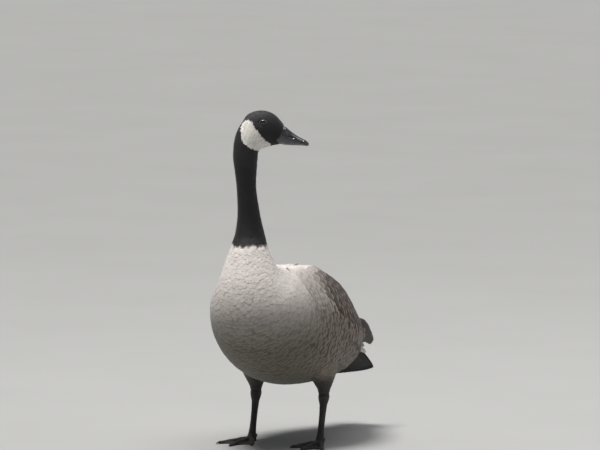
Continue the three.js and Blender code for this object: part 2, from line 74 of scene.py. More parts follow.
SKIN = [
    (on_head(37.6, -5.5), on_head(33, -39.3), 11.5, 0.42),  # bill base
    (on_head(31.6, 2.2), on_head(27, -40.3), 13.5, 0.42),  # lores
    (on_head(21, 13), on_head(20, -41.5), 15.5, 0.45),  # forehead
    (on_head(6, 19.5), on_head(13, -43), 17, 0.48),  # eyes
    (on_head(-11, 19.8), on_head(7, -45.2), 18.5, 0.45),  # crown
    (on_head(-27, 13.5), on_head(2, -46.5), 19.5, 0.45),  # back of the crown
    (on_head(-39, -3), on_head(-3, -48), 20, 0.48),  # cheeks
    (on_head(-47, -18), on_head(-7.5, -51.5), 20, 0.5),  # nape
    (on_head(-52, -36), on_head(-9.5, -58), 20.5, 0.5),  # throat
    (on_head(-53.8, -62), on_head(-10.8, -72), 20.5, 0.5),  # end of the head
    ((154.5, 486), (189.5, 482), 17.5, 0.5),
    ((142, 438), (182, 434), 19.5, 0.5),
    ((131, 398), (184, 396), 26, 0.5),
    ((126, 368), (193, 373), 34.5, 0.5),  # end of the black neck
    ((117, 350), (201, 344), 44, 0.5),
    ((108, 340), (211, 306), 54, 0.5),
    ((97, 335.5), (215, 268), 66, 0.52),
    ((83, 333), (209, 232), 80, 0.55),  # breast
    ((65, 331), (187, 192), 92, 0.56),
    ((42, 327), (150, 158), 102, 0.55),  # shoulders
    ((14, 320), (100, 130), 109, 0.52),
    ((-18, 309), (46, 113), 112, 0.49),  # middle
    ((-52, 294), (-6, 107), 111, 0.46),
    ((-88, 275), (-62, 107), 106, 0.43),
    ((-124, 253), (-110, 113), 94, 0.42),  # hips
    ((-158, 229), (-150, 128), 76, 0.42),
    ((-184, 208), (-180, 150), 55, 0.45),  # vent
    ((-198, 196), (-198, 166), 41, 0.5),  # tail root
]
DORSAL = np.array([row[0] for row in SKIN], float)
VENTRAL = np.array([row[1] for row in SKIN], float)
GIRTH = np.array([row[2:] for row in SKIN], float)
SKIN_END = len(SKIN) - 1
print("skin stations", len(SKIN))

# %% [markdown]
# ## Wings, thighs and tail in numbers
# A folded wing is a shell over the back and side that narrows to its tip. It could be unfolded
# and folded by a rig, but it never moves here. So rows from front to tip each give five points
# from the ridge down to the lower edge, and splines along and across them make the shell. The
# thigh is a cone of feathers, and the tail a fan that droops and rolls a little to one side.

# %% Rows of the left wing, stations of the left thigh, and the tail's root
WING = [  # forward, then [out, height] of ridge, roof edge, shoulder, side and lower edge
    (108, (70, 302), (79, 292), (86, 277), (90, 256), (88, 240)),
    (85, (45, 328), (69, 319), (90, 293), (104, 258), (101, 228)),
    (55, (18, 334), (64, 328), (93, 296), (112, 252), (109, 212)),
    (20, (3, 327), (62, 327), (96, 293), (117, 243), (112, 196)),
    (-16, (0.4, 323), (60, 315), (95, 280), (117, 230), (113, 186)),
    (-50, (0.4, 316), (60, 303), (93, 268), (115, 218), (111, 177)),
    (-80, (0.4, 301), (58, 290), (88, 257), (109, 208), (106, 171)),
    (-114, (0.4, 278), (55, 269), (78, 241), (98, 199), (94, 165)),
    (-152, (1, 253), (50, 248), (68, 223), (82, 189), (77, 163)),
    (-180, (4, 230), (45, 225), (58, 206), (67, 181), (61, 161)),
    (-206, (10, 213), (42, 208), (50, 194), (55, 176), (50, 160)),
    (-236, (20, 203), (44, 202), (51, 191), (53, 175), (49, 161)),
    (-264, (26, 188), (43, 187), (49, 177), (50, 164), (47, 153)),
    (-290, (32, 172), (41, 172), (45, 165), (45, 157), (42, 148)),
]
WING_RAILS = [
    np.array([(row[n][0], -row[0], row[n][1]) for row in WING], float) for n in range(1, 6)
]
WING_END = len(WING) - 1
RIDGE_LAP = ([2.4, 4.0, 7.2, 8.6], [-0.03, -0.2, -0.2, -0.03])  # how far feathers lap over it
THIGH = [  # [height, out, forward, half-width, half-length]
    (175, 62, 2, 34, 44), (150, 64, -2, 31, 40), (132, 66, -7, 25, 32), (114, 67.4, -10, 17, 21),
    (102, 68, -12, 11.5, 14), (95.3, 68, -12, 9.6, 11.5),
]
THIGH_END = len(THIGH) - 1
TAIL_ROOT = (-200, 189)
TAIL_DROOP, TAIL_ROLL = math.radians(46), math.radians(12)
SIDES = {"left": 1, "right": -1}
print("wing rows", len(WING), "thigh stations", len(THIGH))

# %% [markdown]
# ## Splines
# A Catmull-Rom spline goes through every station, so a table says where the surface really is.
# Blender's own curves could do this for one line at a time. Written out, the same formula takes
# whole arrays of points, and it runs straight on past its ends, where the last feathers lie.


# %% Splines
def smooth(x):
    """0 below 0 and 1 above 1, with a smooth step between."""
    x = np.clip(x, 0, 1)
    return x * x * (3 - 2 * x)


def between(p0, p1, p2, p3, w):
    """The spline's point at the share w of the way from p1 to p2."""
    bend = (p2 - p0) + w * ((2 * p0 - 5 * p1 + 4 * p2 - p3) + w * (3 * p1 - p0 - 3 * p2 + p3))
    return p1 + 0.5 * w * bend


def curve(points, s):
    """The spline through points, at s counted in stations; it runs straight on past its ends."""
    last = len(points) - 1
    s = np.asarray(s, float)
    held = np.clip(s, 0, last)
    i = np.minimum(held.astype(int), last - 1)
    w = (held - i)[..., None]
    ends = np.vstack([2 * points[0] - points[1], points, 2 * points[-1] - points[-2]])
    slope = np.where((s > 0)[..., None], ends[-1] - ends[-2], ends[1] - ends[0])
    return between(ends[i], ends[i + 1], ends[i + 2], ends[i + 3], w) + (s - held)[..., None] * slope


def arrays(*values):
    """Numbers or arrays as arrays of one common shape."""
    return np.broadcast_arrays(*(np.asarray(value, float) for value in values))


def spin(x, y, angle):
    return x * math.cos(angle) - y * math.sin(angle), x * math.sin(angle) + y * math.cos(angle)


def place(x, forward, z):
    """Millimetres on the bird as metres in the frame."""
    return np.stack([x, -forward - MIDDLE_BACK, z], -1) * MM


print("the back's middle", curve(DORSAL, SKIN_END / 2).round(1))

# %% [markdown]
# ## Surfaces that feathers grow from
# Each surface is a function of two numbers, for whole arrays of them at once. A feather is then
# laid out flat and wrapped on its surface, so it lies along the body wherever it grows. The other
# way, moving copies of one feather about, leaves their ends standing off a curved body. The skin
# turns the head by twisting the neck, as a goose does when it looks to its side.


# %% The skin's surface
def skin(t, angle):
    """The bird's skin: t is a station, angle runs from the back over the left side."""
    t, angle = arrays(t, angle)
    top, bottom, girth = curve(DORSAL, t), curve(VENTRAL, t), curve(GIRTH, t)
    centre = bottom + girth[..., 1:] * (top - bottom)
    c = np.cos(angle)[..., None]
    flat = centre + np.abs(c) * (np.where(c > 0, top, bottom) - centre)
    x = girth[..., 0] * np.sin(angle)
    axis = np.where(t <= HEAD_END, NECK_FORWARD, (top + bottom)[..., 0] / 2)
    yaw = HEAD_YAW * (1 - smooth((t - HEAD_END) / (BLACK_END - HEAD_END)))
    ahead = flat[..., 0] - axis
    turned = x * np.cos(yaw) + ahead * np.sin(yaw)
    forward = axis - x * np.sin(yaw) + ahead * np.cos(yaw)
    return place(turned, forward, flat[..., 1])


body_length = float(skin(SKIN_END, 0)[1] - skin(BREAST, math.pi)[1])
print("body length", round(body_length, 3), "m")


# %% The wing's surface
def wing_surface(side):
    """Station t runs from the front to the tip, across from 0 at the ridge to 1 at the edge."""
    def surface(t, across):
        t, across = arrays(t, across)
        rails = np.stack([curve(points, t) for points in WING_RAILS], -2)
        row = rails.reshape(-1, 5, 3)
        s = np.clip(across.reshape(-1), np.interp(t.reshape(-1), *RIDGE_LAP), 1.2) * 4
        i = np.clip(s.astype(int), 0, 3)
        ends = np.concatenate([2 * row[:, :1] - row[:, 1:2], row, 2 * row[:, 4:] - row[:, 3:4]], 1)
        near = [ends[np.arange(len(s)), i + k] for k in range(4)]
        point = between(*near, (s - i)[:, None]).reshape(t.shape + (3,))
        return place(side * point[..., 0], -point[..., 1], point[..., 2])

    return surface


wing_tip = wing_surface(1)(WING_END, 0.5)
print("left wing tip", wing_tip.round(3))


# %% The surfaces of thigh and tail
def thigh_surface(side):
    table = np.array(THIGH, float)

    def surface(t, angle):
        t, angle = arrays(t, angle)
        z, x, forward, half_width, half_length = np.moveaxis(curve(table, t), -1, 0)
        out = x - half_width * np.sin(angle)
        return place(side * out, forward + half_length * np.cos(angle), z)

    return surface


def tail_surface(along, across):
    """The tail's fan in millimetres behind and beside its root. It arches from side to side."""
    along, across = arrays(along, across)
    x, z = spin(across, -3 - 0.05 * along - 0.0052 * across**2, TAIL_ROLL)
    y, z = spin(along, z, -TAIL_DROOP)
    return place(x, TAIL_ROOT[0] - y, TAIL_ROOT[1] + z)


def slopes(surface, t, a, step=0.02):
    """Unit normals, and how many metres one unit of each coordinate covers."""
    along = (surface(t + step, a) - surface(t - step, a)) / (2 * step)
    across = (surface(t, a + step) - surface(t, a - step)) / (2 * step)
    normal = np.cross(across, along)
    normal /= np.linalg.norm(normal, axis=-1, keepdims=True) + 1e-12
    return normal, np.linalg.norm(along, axis=-1), np.linalg.norm(across, axis=-1)


print("tail tip", tail_surface(120, 0).round(3))

# %% [markdown]
# ## Meshes from arrays
# A mesh could be built vertex by vertex. Thousands of feathers are written as arrays in one go
# instead, which is much quicker. Each carries its colours, where on the feather a point lies,
# and a small patch of the skin's unwrap for baking.


# %% A mesh from arrays
def add_maps(mesh, faces, maps):
    for map_name, uv in maps.items():
        if uv is not None:
            layer = mesh.uv_layers.new(name=map_name)
            corners = uv.reshape(-1, 2)[faces.ravel()]
            layer.data.foreach_set("uv", corners.astype(np.float32).ravel())


def add_colours(mesh, count, colours):
    for map_name, colour in colours.items():
        if colour is not None:
            layer = mesh.color_attributes.new(map_name, "FLOAT_COLOR", "POINT")
            rgba = np.ones((count, 4), np.float32)
            rgba[:, :3] = np.broadcast_to(colour, (count, 3))
            layer.data.foreach_set("color", rgba.ravel())


def build(name, points, faces, bake, vane=None, tint=None, fringe=None):
    mesh = bpy.data.meshes.new(name)
    points, faces = points.reshape(-1, 3), faces.reshape(-1, faces.shape[-1])
    mesh.vertices.add(len(points))
    mesh.vertices.foreach_set("co", points.astype(np.float32).ravel())
    mesh.loops.add(faces.size)
    mesh.loops.foreach_set("vertex_index", faces.astype(np.int32).ravel())
    mesh.polygons.add(len(faces))
    starts = np.arange(0, faces.size, faces.shape[-1], dtype=np.int32)
    mesh.polygons.foreach_set("loop_start", starts)
    mesh.polygons.foreach_set("use_smooth", np.ones(len(faces), bool))
    add_maps(mesh, faces, {"OFBake": bake, "Vane": vane})
    add_colours(mesh, len(points), {"Tint": tint, "Fringe": fringe})
    mesh.update(calc_edges=True)
    mesh.validate()
    piece = bpy.data.objects.new(name, mesh)
    bpy.context.scene.collection.objects.link(piece)
    return piece


# %% Grids and tubes
def grid_faces(rows, columns, closed=False):
    """Quads of a grid of points, row by row; a closed one joins its last column to its first."""
    r = np.arange(rows - 1)[:, None]
    c = np.arange(columns if closed else columns - 1)[None, :]
    n = (c + 1) % columns
    corners = [r * columns + c, (r + 1) * columns + c, (r + 1) * columns + n, r * columns + n]
    return np.stack(np.broadcast_arrays(*corners), -1).reshape(-1, 4)


def tube(name, surface, stations, angles, tint=None):
    """A closed tube of skin, its ends drawn in to a point."""
    t, a = np.meshgrid(stations, angles, indexing="ij")
    points = surface(t, a)
    points[0], points[-1] = points[0].mean(0), points[-1].mean(0)
    column = np.arange(len(angles)) / len(angles)
    row = np.arange(len(stations)) / (len(stations) - 1)
    bake = np.stack(np.meshgrid(column, row), -1)
    colour = tint(t, a, points).reshape(-1, 3) if tint else None
    faces = grid_faces(len(stations), len(angles), True)[:, ::-1]
    return build(name, points, faces, bake, tint=colour)


def full_circle(count):
    return np.linspace(0, FULL_TURN, count, endpoint=False)


print("a 3 by 4 grid has", len(grid_faces(3, 4)), "quads")

# %% [markdown]
# ## One feather
# A feather is a shaft with a vane on each side, widest beyond its middle and rounded at its tip.
# It could be one flat card with a cut-out pattern. A small grid with its own outline needs no
# cut-out, overlaps its neighbours and holds its shape in the exported mesh.

# %% A feather laid flat: how far along each row is, its share of the width, and its columns
TUFT = (np.array([0, 0.4, 0.8, 1]), np.array([0.7, 1, 0.75, 0.15]), np.array([-1, 0, 1]))
CONTOUR = (
    np.array([0, 0.3, 0.55, 0.75, 0.88, 0.96, 1]),
    np.array([0.6, 0.92, 1, 0.93, 0.72, 0.45, 0.12]),
    np.array([-1, -0.55, 0, 0.55, 1]),
)
LONG = (
    np.array([0, 0.15, 0.3, 0.45, 0.6, 0.72, 0.82, 0.9, 0.95, 0.985, 1]),
    np.array([0.5, 0.85, 0.97, 1, 1, 0.97, 0.9, 0.76, 0.58, 0.34, 0.1]),
    np.array([-1, -0.5, 0, 0.5, 1]),
)
BAKE_PATCH = 0.003  # side of one feather's patch in the bake map
for shape_name, flat in (("tuft", TUFT), ("contour", CONTOUR), ("long", LONG)):
    print(shape_name, len(flat[0]) * len(flat[2]), "points")


# %% Feathers wrapped on a surface
def per_feather(value, count):
    """One value, or one for each feather, ready to combine with rows and columns."""
    return np.broadcast_to(np.asarray(value, float), (count,))[:, None, None]


def rim_wall(rows, columns, outward):
    """Quads that join the rim of a vane's upper face to that of its lower face."""
    size = rows * columns
    rim = np.concatenate([
        np.arange(columns), np.arange(2, rows + 1) * columns - 1,
        np.arange(size - 2, size - columns - 1, -1), np.arange(rows - 2, 0, -1) * columns,
    ])
    after = np.roll(rim, -1)
    wall = np.stack([rim, rim + size, after + size, after], -1)
    return wall if outward > 0 else wall[:, ::-1]


def wrap(surface, t, a, shape, sizes, outward):
    """Points and normals of one feather at each root, lying on the surface."""
    s, wide, w = shape
    length, half, aim, root, tip, crown = (per_feather(value, len(t)) for value in sizes)
    _, per_t, _ = slopes(surface, t, a)
    along = np.broadcast_to(s[None, :, None] * length, (len(t), len(s), len(w)))
    aside = w[None, None, :] * wide[None, :, None] * half
    ahead = along * np.cos(aim) - aside * np.sin(aim)
    beside = along * np.sin(aim) + aside * np.cos(aim)
    station = t[:, None, None] + ahead / per_t[:, None, None]
    start = np.broadcast_to(a[:, None, None], station.shape)
    _, _, per_a = slopes(surface, station, start)
    across = start + beside / per_a
    normal, _, _ = slopes(surface, station, across)
    height = root + (tip - root) * smooth(s * 1.25)[None, :, None] - crown * w**2
    return surface(station, across) + outward * normal * height[..., None], normal


def feathers(
    name, surface, t, a, length, half, tint, fringe, bake_root, aim, root, tip, crown,
    shape=CONTOUR, outward=1, thick=0.0,
):
    """One feather at each root. Sizes are in metres and aim in radians from straight back.

    Root and tip are heights over the surface, and crown is how far the edges bend down.
    """
    s, _, w = shape
    count, size = len(t), len(s) * len(w)
    points, normal = wrap(surface, t, a, shape, (length, half, aim, root, tip, crown), outward)
    faces = grid_faces(len(s), len(w))
    if outward > 0:
        faces = faces[:, ::-1]
    local = np.stack(np.meshgrid(0.5 + 0.5 * w, s), -1).reshape(1, size, 2)
    if thick:
        under = points - outward * normal * thick * (1.05 - s[None, :, None, None])
        both = [points.reshape(count, size, 3), under.reshape(count, size, 3)]
        points = np.concatenate(both, 1)
        wall = rim_wall(len(s), len(w), outward)
        faces = np.concatenate([faces, faces[:, ::-1] + size, wall])
        local = np.concatenate([local, local], 1)
        size *= 2
    every = (faces[None] + np.arange(count)[:, None, None] * size).reshape(-1, 4)
    bake = bake_root[:, None, :] + (local - 0.5) * BAKE_PATCH
    vane = np.broadcast_to(local, (count, size, 2))
    tints, fringes = (
        np.repeat(np.broadcast_to(colour, (count, 3)), size, 0) for colour in (tint, fringe)
    )
    return build(name, points, every, bake, vane, tints, fringes)


def skin_patch(t, a, end=SKIN_END):
    """Where on the unwrapped skin a feather's bake patch lies."""
    return np.stack([np.mod(a / FULL_TURN, 1), t / end], -1)


print("a closed long vane has", len(rim_wall(len(LONG[0]), len(LONG[2]), 1)), "rim quads")

# %% [markdown]
# ## Markings
# Colour is worked out from where a point lies on the bird: the black stocking of head and neck,
# the white chin strap, the pale breast, the barred flanks and the white vent, and painted shade
# that darkens breast and belly downward. It could be painted by hand on a map. A formula stays
# sharp at any size, and skin and feathers ask the same functions, so nothing shows through in
# the wrong colour.


# %% Colours of the plumage
def linear(colour):
    """A colour picked as 0 to 255 screen values, as the linear values that shaders use."""
    value = np.asarray(colour, float) / 255
    return np.where(value <= 0.04045, value / 12.92, ((value + 0.055) / 1.055) ** 2.4)


BLACK, BLACK_EDGE = linear((15, 14, 16)), linear((27, 26, 29))
WHITE, WHITE_EDGE = linear((238, 234, 227)), linear((245, 242, 237))
BREAST_TOP, BREAST_TOP_EDGE = linear((230, 221, 216)), linear((240, 234, 230))
# Painted shade: the belly's tone is darker than the bird's own, as light from above shades it.
BELLY_PAINTED_SHADE, BELLY_EDGE_PAINTED_SHADE = linear((84, 80, 68)), linear((108, 104, 90))
FLANK, FLANK_EDGE = linear((68, 58, 48)), linear((150, 138, 126))
BACK, BACK_EDGE = linear((70, 57, 47)), linear((150, 130, 112))
NECK_EDGE = 380  # height of the lowest black feathers' roots
CHEEK_PATCH = np.array([  # [ahead of the eye, above it]
    (-29, 6.8), (-22, 5.8), (-16, 1), (-12, -5.5), (-8, -13), (-1, -21.8), (6.5, -30.5),
    (15.8, -38.2), (18, -46), (-2, -50), (-13.1, -46), (-21.8, -42), (-29.4, -38),
    (-34.9, -33.8), (-37.3, -25), (-38.4, -14.2), (-38.8, -7), (-36.5, 0.5),
], float)


def mix(first, second, share):
    return first + (np.asarray(second) - first) * np.asarray(share)[..., None]


print("white in linear light", WHITE.round(3))


# %% Places on the head
def forward_of(points):
    return -points[..., 1] / MM - MIDDLE_BACK


def from_head(points):
    """[x, ahead of the eye, above the eye] in the unturned head, in millimetres."""
    beside, ahead = spin(points[..., 0] / MM, forward_of(points) - NECK_FORWARD, HEAD_YAW)
    return beside, ahead - (EYE_FORWARD - NECK_FORWARD), points[..., 2] / MM - EYE_HEIGHT


def to_head(x, u, v):
    x, u, v = arrays(x, u, v)
    ahead = u + EYE_FORWARD - NECK_FORWARD
    turned = x * math.cos(HEAD_YAW) + ahead * math.sin(HEAD_YAW)
    forward = NECK_FORWARD - x * math.sin(HEAD_YAW) + ahead * math.cos(HEAD_YAW)
    return place(turned, forward, v + EYE_HEIGHT)


def within(outline, u, v):
    """Whether each point lies inside a closed outline."""
    hit = np.zeros(np.shape(u), bool)
    for (u0, v0), (u1, v1) in zip(outline, np.roll(outline, -1, 0)):
        crosses = (v0 > v) != (v1 > v)
        hit ^= crosses & (u < u0 + (v - v0) * (u1 - u0) / (v1 - v0 + 1e-9))
    return hit


print("the eye's middle", to_head(0, 0, 0).round(4))


# %% Colours by place
def fold(a):
    """The angle from the back, the same on both sides."""
    a = np.mod(a, FULL_TURN)
    return np.minimum(a, FULL_TURN - a)


def body_colours(t, a, points, shift=0.0):
    """Feather and fringe colour on head, neck and torso, with painted shade low down; shift frays their
    borders.
    """
    z, forward = points[..., 2] / MM, forward_of(points)
    # Painted shade: the colour darkens from the breast's top down to the belly, as light from above
    # shades it.
    under = smooth((368 - z) / 180)
    tint, fringe = mix(BREAST_TOP, BELLY_PAINTED_SHADE, under), mix(BREAST_TOP_EDGE, BELLY_EDGE_PAINTED_SHADE, under)
    aside = np.abs(points[..., 0]) / MM
    flank = smooth((150 - forward) / 130) * smooth((aside - 48) / 50) * smooth((z - 118) / 40)
    back = smooth((1.15 - fold(a)) / 0.3) * smooth((30 - forward) / 80)
    vent = smooth((-95 - forward) / 45) * smooth((fold(a) - 1.35) / 0.5)
    vent = np.maximum(vent, smooth((-160 - forward) / 20))
    for colour, edge, share in (
        (FLANK, FLANK_EDGE, flank), (BACK, BACK_EDGE, back), (WHITE, WHITE_EDGE, vent),
    ):
        tint, fringe = mix(tint, colour, share), mix(fringe, edge, share)
    lowest_black = NECK_EDGE + np.sin(3 * a + 1) + 0.6 * np.sin(8 * a) + shift
    black = ((z > lowest_black) & (t < BREAST))[..., None]
    _, u, v = from_head(points)
    white = (within(CHEEK_PATCH, u + 0.3 * shift, v) & (t < HEAD_END))[..., None]
    tint, fringe = np.where(black, BLACK, tint), np.where(black, BLACK_EDGE, fringe)
    return np.where(white, WHITE, tint), np.where(white, WHITE_EDGE, fringe)


def flank_colours(points):
    """The body's colours as they are on the flank, painted shade below included, for feathers that grow
    from the wing.
    """
    shape = points.shape[:-1]
    return body_colours(np.full(shape, 20.0), np.full(shape, 1.3), points)


breast = skin(np.array([BREAST]), np.array([math.pi]))
print("breast colour", body_colours(np.array([BREAST]), np.array([math.pi]), breast)[0].round(3))

# %% [markdown]
# ## Shader maths
# Shader nodes can be placed one by one with their links, which hides the formula. A small class
# wraps a node's socket instead, so that shader maths reads as maths. Only values that vary over
# a surface are linked, and the rest are set on the shader itself.


# %% A socket that can be added, subtracted and multiplied
class Socket:
    def __init__(self, tree, socket):
        self.tree, self.socket = tree, socket

    def node(self, kind, inputs=(), output=0, **settings):
        """Any other node: its type, the values or links of its sockets, and its settings."""
        made = self.tree.nodes.new(kind)
        for key, value in settings.items():
            setattr(made, key, value)
        for key, value in dict(inputs).items():
            if isinstance(value, Socket):
                self.tree.links.new(value.socket, made.inputs[key])
            else:
                made.inputs[key].default_value = value
        return Socket(self.tree, made.outputs[output])

    def math(self, operation, first, second=0.0):
        return self.node("ShaderNodeMath", {0: first, 1: second}, operation=operation)

    def __add__(self, other):
        return self.math("ADD", self, other)

    def __radd__(self, other):
        return self.math("ADD", other, self)

    def __sub__(self, other):
        return self.math("SUBTRACT", self, other)

    def __rsub__(self, other):
        return self.math("SUBTRACT", other, self)

    def __mul__(self, other):
        return self.math("MULTIPLY", self, other)

    def __rmul__(self, other):
        return self.math("MULTIPLY", other, self)

    def __abs__(self):
        return self.math("ABSOLUTE", self)

    def ramp(self, low, high):
        """0 below low, 1 above high, smooth between."""
        inputs = {0: self, 1: low, 2: high}
        return self.node("ShaderNodeMapRange", inputs, interpolation_type="SMOOTHSTEP")

    def mixed(self, first, second, blend="MIX"):
        """First where this socket is 0 and second where it is 1, through a colour Mix."""
        inputs = {0: self, 6: first, 7: second}
        return self.node("ShaderNodeMix", inputs, 2, data_type="RGBA", blend_type=blend)


print("socket maths ready")


# %% Materials, links, bumps and noise
def material(name, roughness, **settings):
    """A new material, its Principled shader, and a Socket to build from."""
    made = bpy.data.materials.new(name)
    made.use_nodes = True
    shader = made.node_tree.nodes["Principled BSDF"]
    shader.inputs["Roughness"].default_value = roughness
    for key, value in settings.items():
        shader.inputs[key.replace("_", " ")].default_value = value
    return made, shader, Socket(made.node_tree, None)


def link(shader, key, value):
    value.tree.links.new(value.socket, shader.inputs[key])


def bump(shader, height, distance, strength=1.0):
    inputs = {"Height": height, "Distance": distance, "Strength": strength}
    link(shader, "Normal", height.node("ShaderNodeBump", inputs))


def stretched(start, stretch):
    """Object coordinates, stretched by a constant on each axis."""
    where = start.node("ShaderNodeTexCoord", output=3)
    return start.node("ShaderNodeMapping", {"Vector": where, "Scale": stretch})


def noise(start, scale, detail, stretch=(1, 1, 1)):
    inputs = {"Vector": stretched(start, stretch), "Scale": scale, "Detail": detail}
    return start.node("ShaderNodeTexNoise", inputs)


print("material helpers ready")

# %% [markdown]
# ## Plumage finishes
# A vane is dull, with a soft sheen. Its barbs run out from the shaft like a comb, and worn pale
# tips draw the bars across wing and flank. Every feather could have its own material, but they
# would be thousands. One material reads each feather's colours and the place on its vane, and
# four versions differ in how fine their barbs and how narrow their fringes are.


# %% Plumage
def combed(start, vane):
    """Fine streaks along a feather, where its barbs part."""
    along = start.node("ShaderNodeMapping", {"Vector": vane, "Scale": (1.0, 0.1, 1.0)})
    streaks = start.node("ShaderNodeTexNoise", {"Vector": along, "Scale": 34.0, "Detail": 2.0})
    return streaks.ramp(0.35, 0.7)


def plumage(name, roughness, fringe=(0.8, 0.93), barbs=0, sheen=0.1):
    """Feather colour, a fringe at the tip, a fine shaft, and barbs where they can be seen."""
    made, shader, start = material(name, roughness, Sheen_Weight=sheen, Sheen_Roughness=0.5)
    tint = start.node("ShaderNodeAttribute", attribute_name="Tint")
    edge = start.node("ShaderNodeAttribute", attribute_name="Fringe")
    vane = start.node("ShaderNodeUVMap", uv_map="Vane")
    across = start.node("ShaderNodeSeparateXYZ", {0: vane}, 0)
    along = start.node("ShaderNodeSeparateXYZ", {0: vane}, 1)
    aside = abs(across - 0.5) * 2.0
    sides = aside.ramp(0.86, 1.0) * along.ramp(0.45, 0.85) * 0.6
    worn = start.math("MAXIMUM", along.ramp(*fringe), sides)
    patchy = noise(start, 420, 4).ramp(0.3, 0.7)
    colour = (patchy * 0.3).mixed(worn.mixed(tint, edge), (0.72, 0.71, 0.70, 1), "MULTIPLY")
    hair = combed(start, vane)
    colour = (hair * 0.35).mixed(colour, (0.6, 0.58, 0.56, 1), "MULTIPLY")
    if barbs:
        shaft = (1.0 - aside).ramp(0.955, 0.995)
        colour = (shaft * 0.55).mixed(colour, (0.02, 0.016, 0.013, 1))
        comb = start.math("SINE", (along * barbs + aside * (barbs * 0.12)) * 6.283)
        streak = comb.ramp(-0.6, 1.0) * 0.22
        colour = streak.mixed(colour, (0.55, 0.53, 0.52, 1), "MULTIPLY")
        bump(shader, comb + shaft * 3.0, 0.00012, 0.6)
    else:
        bump(shader, hair, 0.0002, 0.5)
    link(shader, "Base Color", colour)
    return made


fine_plumage = plumage("fine_plumage", 0.6)
contour_plumage = plumage("contour_plumage", 0.68, (0.68, 0.93), sheen=0.12)
wing_plumage = plumage("wing_plumage", 0.6, (0.88, 0.955), barbs=26, sheen=0.05)
long_plumage = plumage("long_plumage", 0.5, (0.955, 0.985), barbs=110, sheen=0.05)
print("plumage", [made.name for made in (fine_plumage, contour_plumage, wing_plumage, long_plumage)])


# %% The down under the feathers, and how a piece is dressed
def skin_material():
    made, shader, start = material("plumage_skin", 0.8, Sheen_Weight=0.2)
    tint = start.node("ShaderNodeAttribute", attribute_name="Tint")
    patchy = noise(start, 300, 4).ramp(0.3, 0.7)
    link(shader, "Base Color", patchy.mixed(tint, (0.6, 0.58, 0.57, 1), "MULTIPLY"))
    bump(shader, noise(start, 900, 3), 0.0006)
    return made


def dress(piece, finish, slot, *nodes):
    """Gives a piece its finish and its body, and hides the nodes that it stands for. The slot is not
    used.
    """
    piece.data.materials.clear()
    piece.data.materials.append(finish)
    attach(piece, "root")
    if nodes:
        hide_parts(*nodes)
    return piece


under_skin = skin_material()
print("down", under_skin.name)

# %% [markdown]
# ## Skin
# Between a bird's feathers there is down. One tube runs from the bill to the tail a little
# inside the solids, by the depth of the feathers, and shows only between them. The solids
# themselves could stay in view, but their flat colours would show at every gap. Round each eye
# the tube dips to make the socket.

# %% The body's skin
EYE_OUT, EYE_RADIUS = 11.4, 6.0
SOCKET_RADIUS, SOCKET_DEPTH = 6.2, 2.2


def skin_inside(t, a):
    points = skin(t, a)
    normal, _, _ = slopes(skin, t, a)
    depth = 0.5 + 0.5 * smooth((t - 8.5) / 3) + 1.2 * smooth((t - 12.5) / 2)
    _, u, v = from_head(points)
    socket = SOCKET_DEPTH * smooth(1.5 - np.hypot(u, v) / SOCKET_RADIUS) * (t < HEAD_END)
    return points - normal * ((depth + socket) * MM)[..., None]


stations = np.concatenate([
    np.linspace(0, HEAD_END, 110)[:-1], np.linspace(HEAD_END, BLACK_END, 50)[:-1],
    np.linspace(BLACK_END, SKIN_END, 90),
])
body_skin = tube(
    "body_skin", skin_inside, stations, full_circle(144), tint=lambda t, a, p: body_colours(t, a, p)[0],
)
dress(
    body_skin, under_skin, "pale_plumage", "torso", "neck_lower", "neck_upper", "head", "chinstrap",
)
print("skin points", len(body_skin.data.vertices))

# %% [markdown]
# ## Where feathers root
# Feathers grow in tracts, in staggered rows like tiles. Points scattered at random would leave
# gaps and heaps. So rows are stepped off along the surface, each row is divided evenly by its
# real length, and every root is then moved a little.

# %% Rows of roots
RING_SAMPLES = 97


def roots(surface, start, end, row_step, column_step, low=0.0, high=FULL_TURN, jitter=0.25):
    """Staggered rows of feather roots, row_step and column_step metres apart at station t."""
    t, found_t, found_a, row = start, [], [], 0
    open_end = 0 if high - low > 0.98 * FULL_TURN else 1
    while t < end:
        sample = np.linspace(low, high, RING_SAMPLES)
        ring = surface(np.full(RING_SAMPLES, t), sample)
        reach = np.concatenate([[0], np.cumsum(np.linalg.norm(np.diff(ring, axis=0), axis=1))])
        count = max(int(round(reach[-1] / column_step(t))), 3)
        at = (np.arange(count + open_end) + 0.5 * (row % 2)) / count * reach[-1]
        at = at + dice.uniform(-jitter, jitter, len(at)) * column_step(t)
        a = np.interp(np.clip(at, 0, reach[-1]), reach, sample)
        _, per_t, _ = slopes(surface, np.array([t]), np.array([0.5 * (low + high)]))
        found_t.append(t + dice.uniform(-jitter, jitter, len(a)) * row_step(t) / per_t[0])
        found_a.append(a)
        t += row_step(t) / per_t[0]
        row += 1
    return np.concatenate(found_t), np.concatenate(found_a)


print("roots are found in rows of", RING_SAMPLES, "samples")

# %% [markdown]
# ## Small feathers of head and neck
# They are so fine that head and neck look like velvet. Hair strands would show that too, but
# they don't export. Each is a tiny tuft of three columns, which lies backward from the bill and
# then down the neck, and stops short of the eyes.

# %% Head tufts
BARE_EYE = 6.9  # radius without feathers round the eye

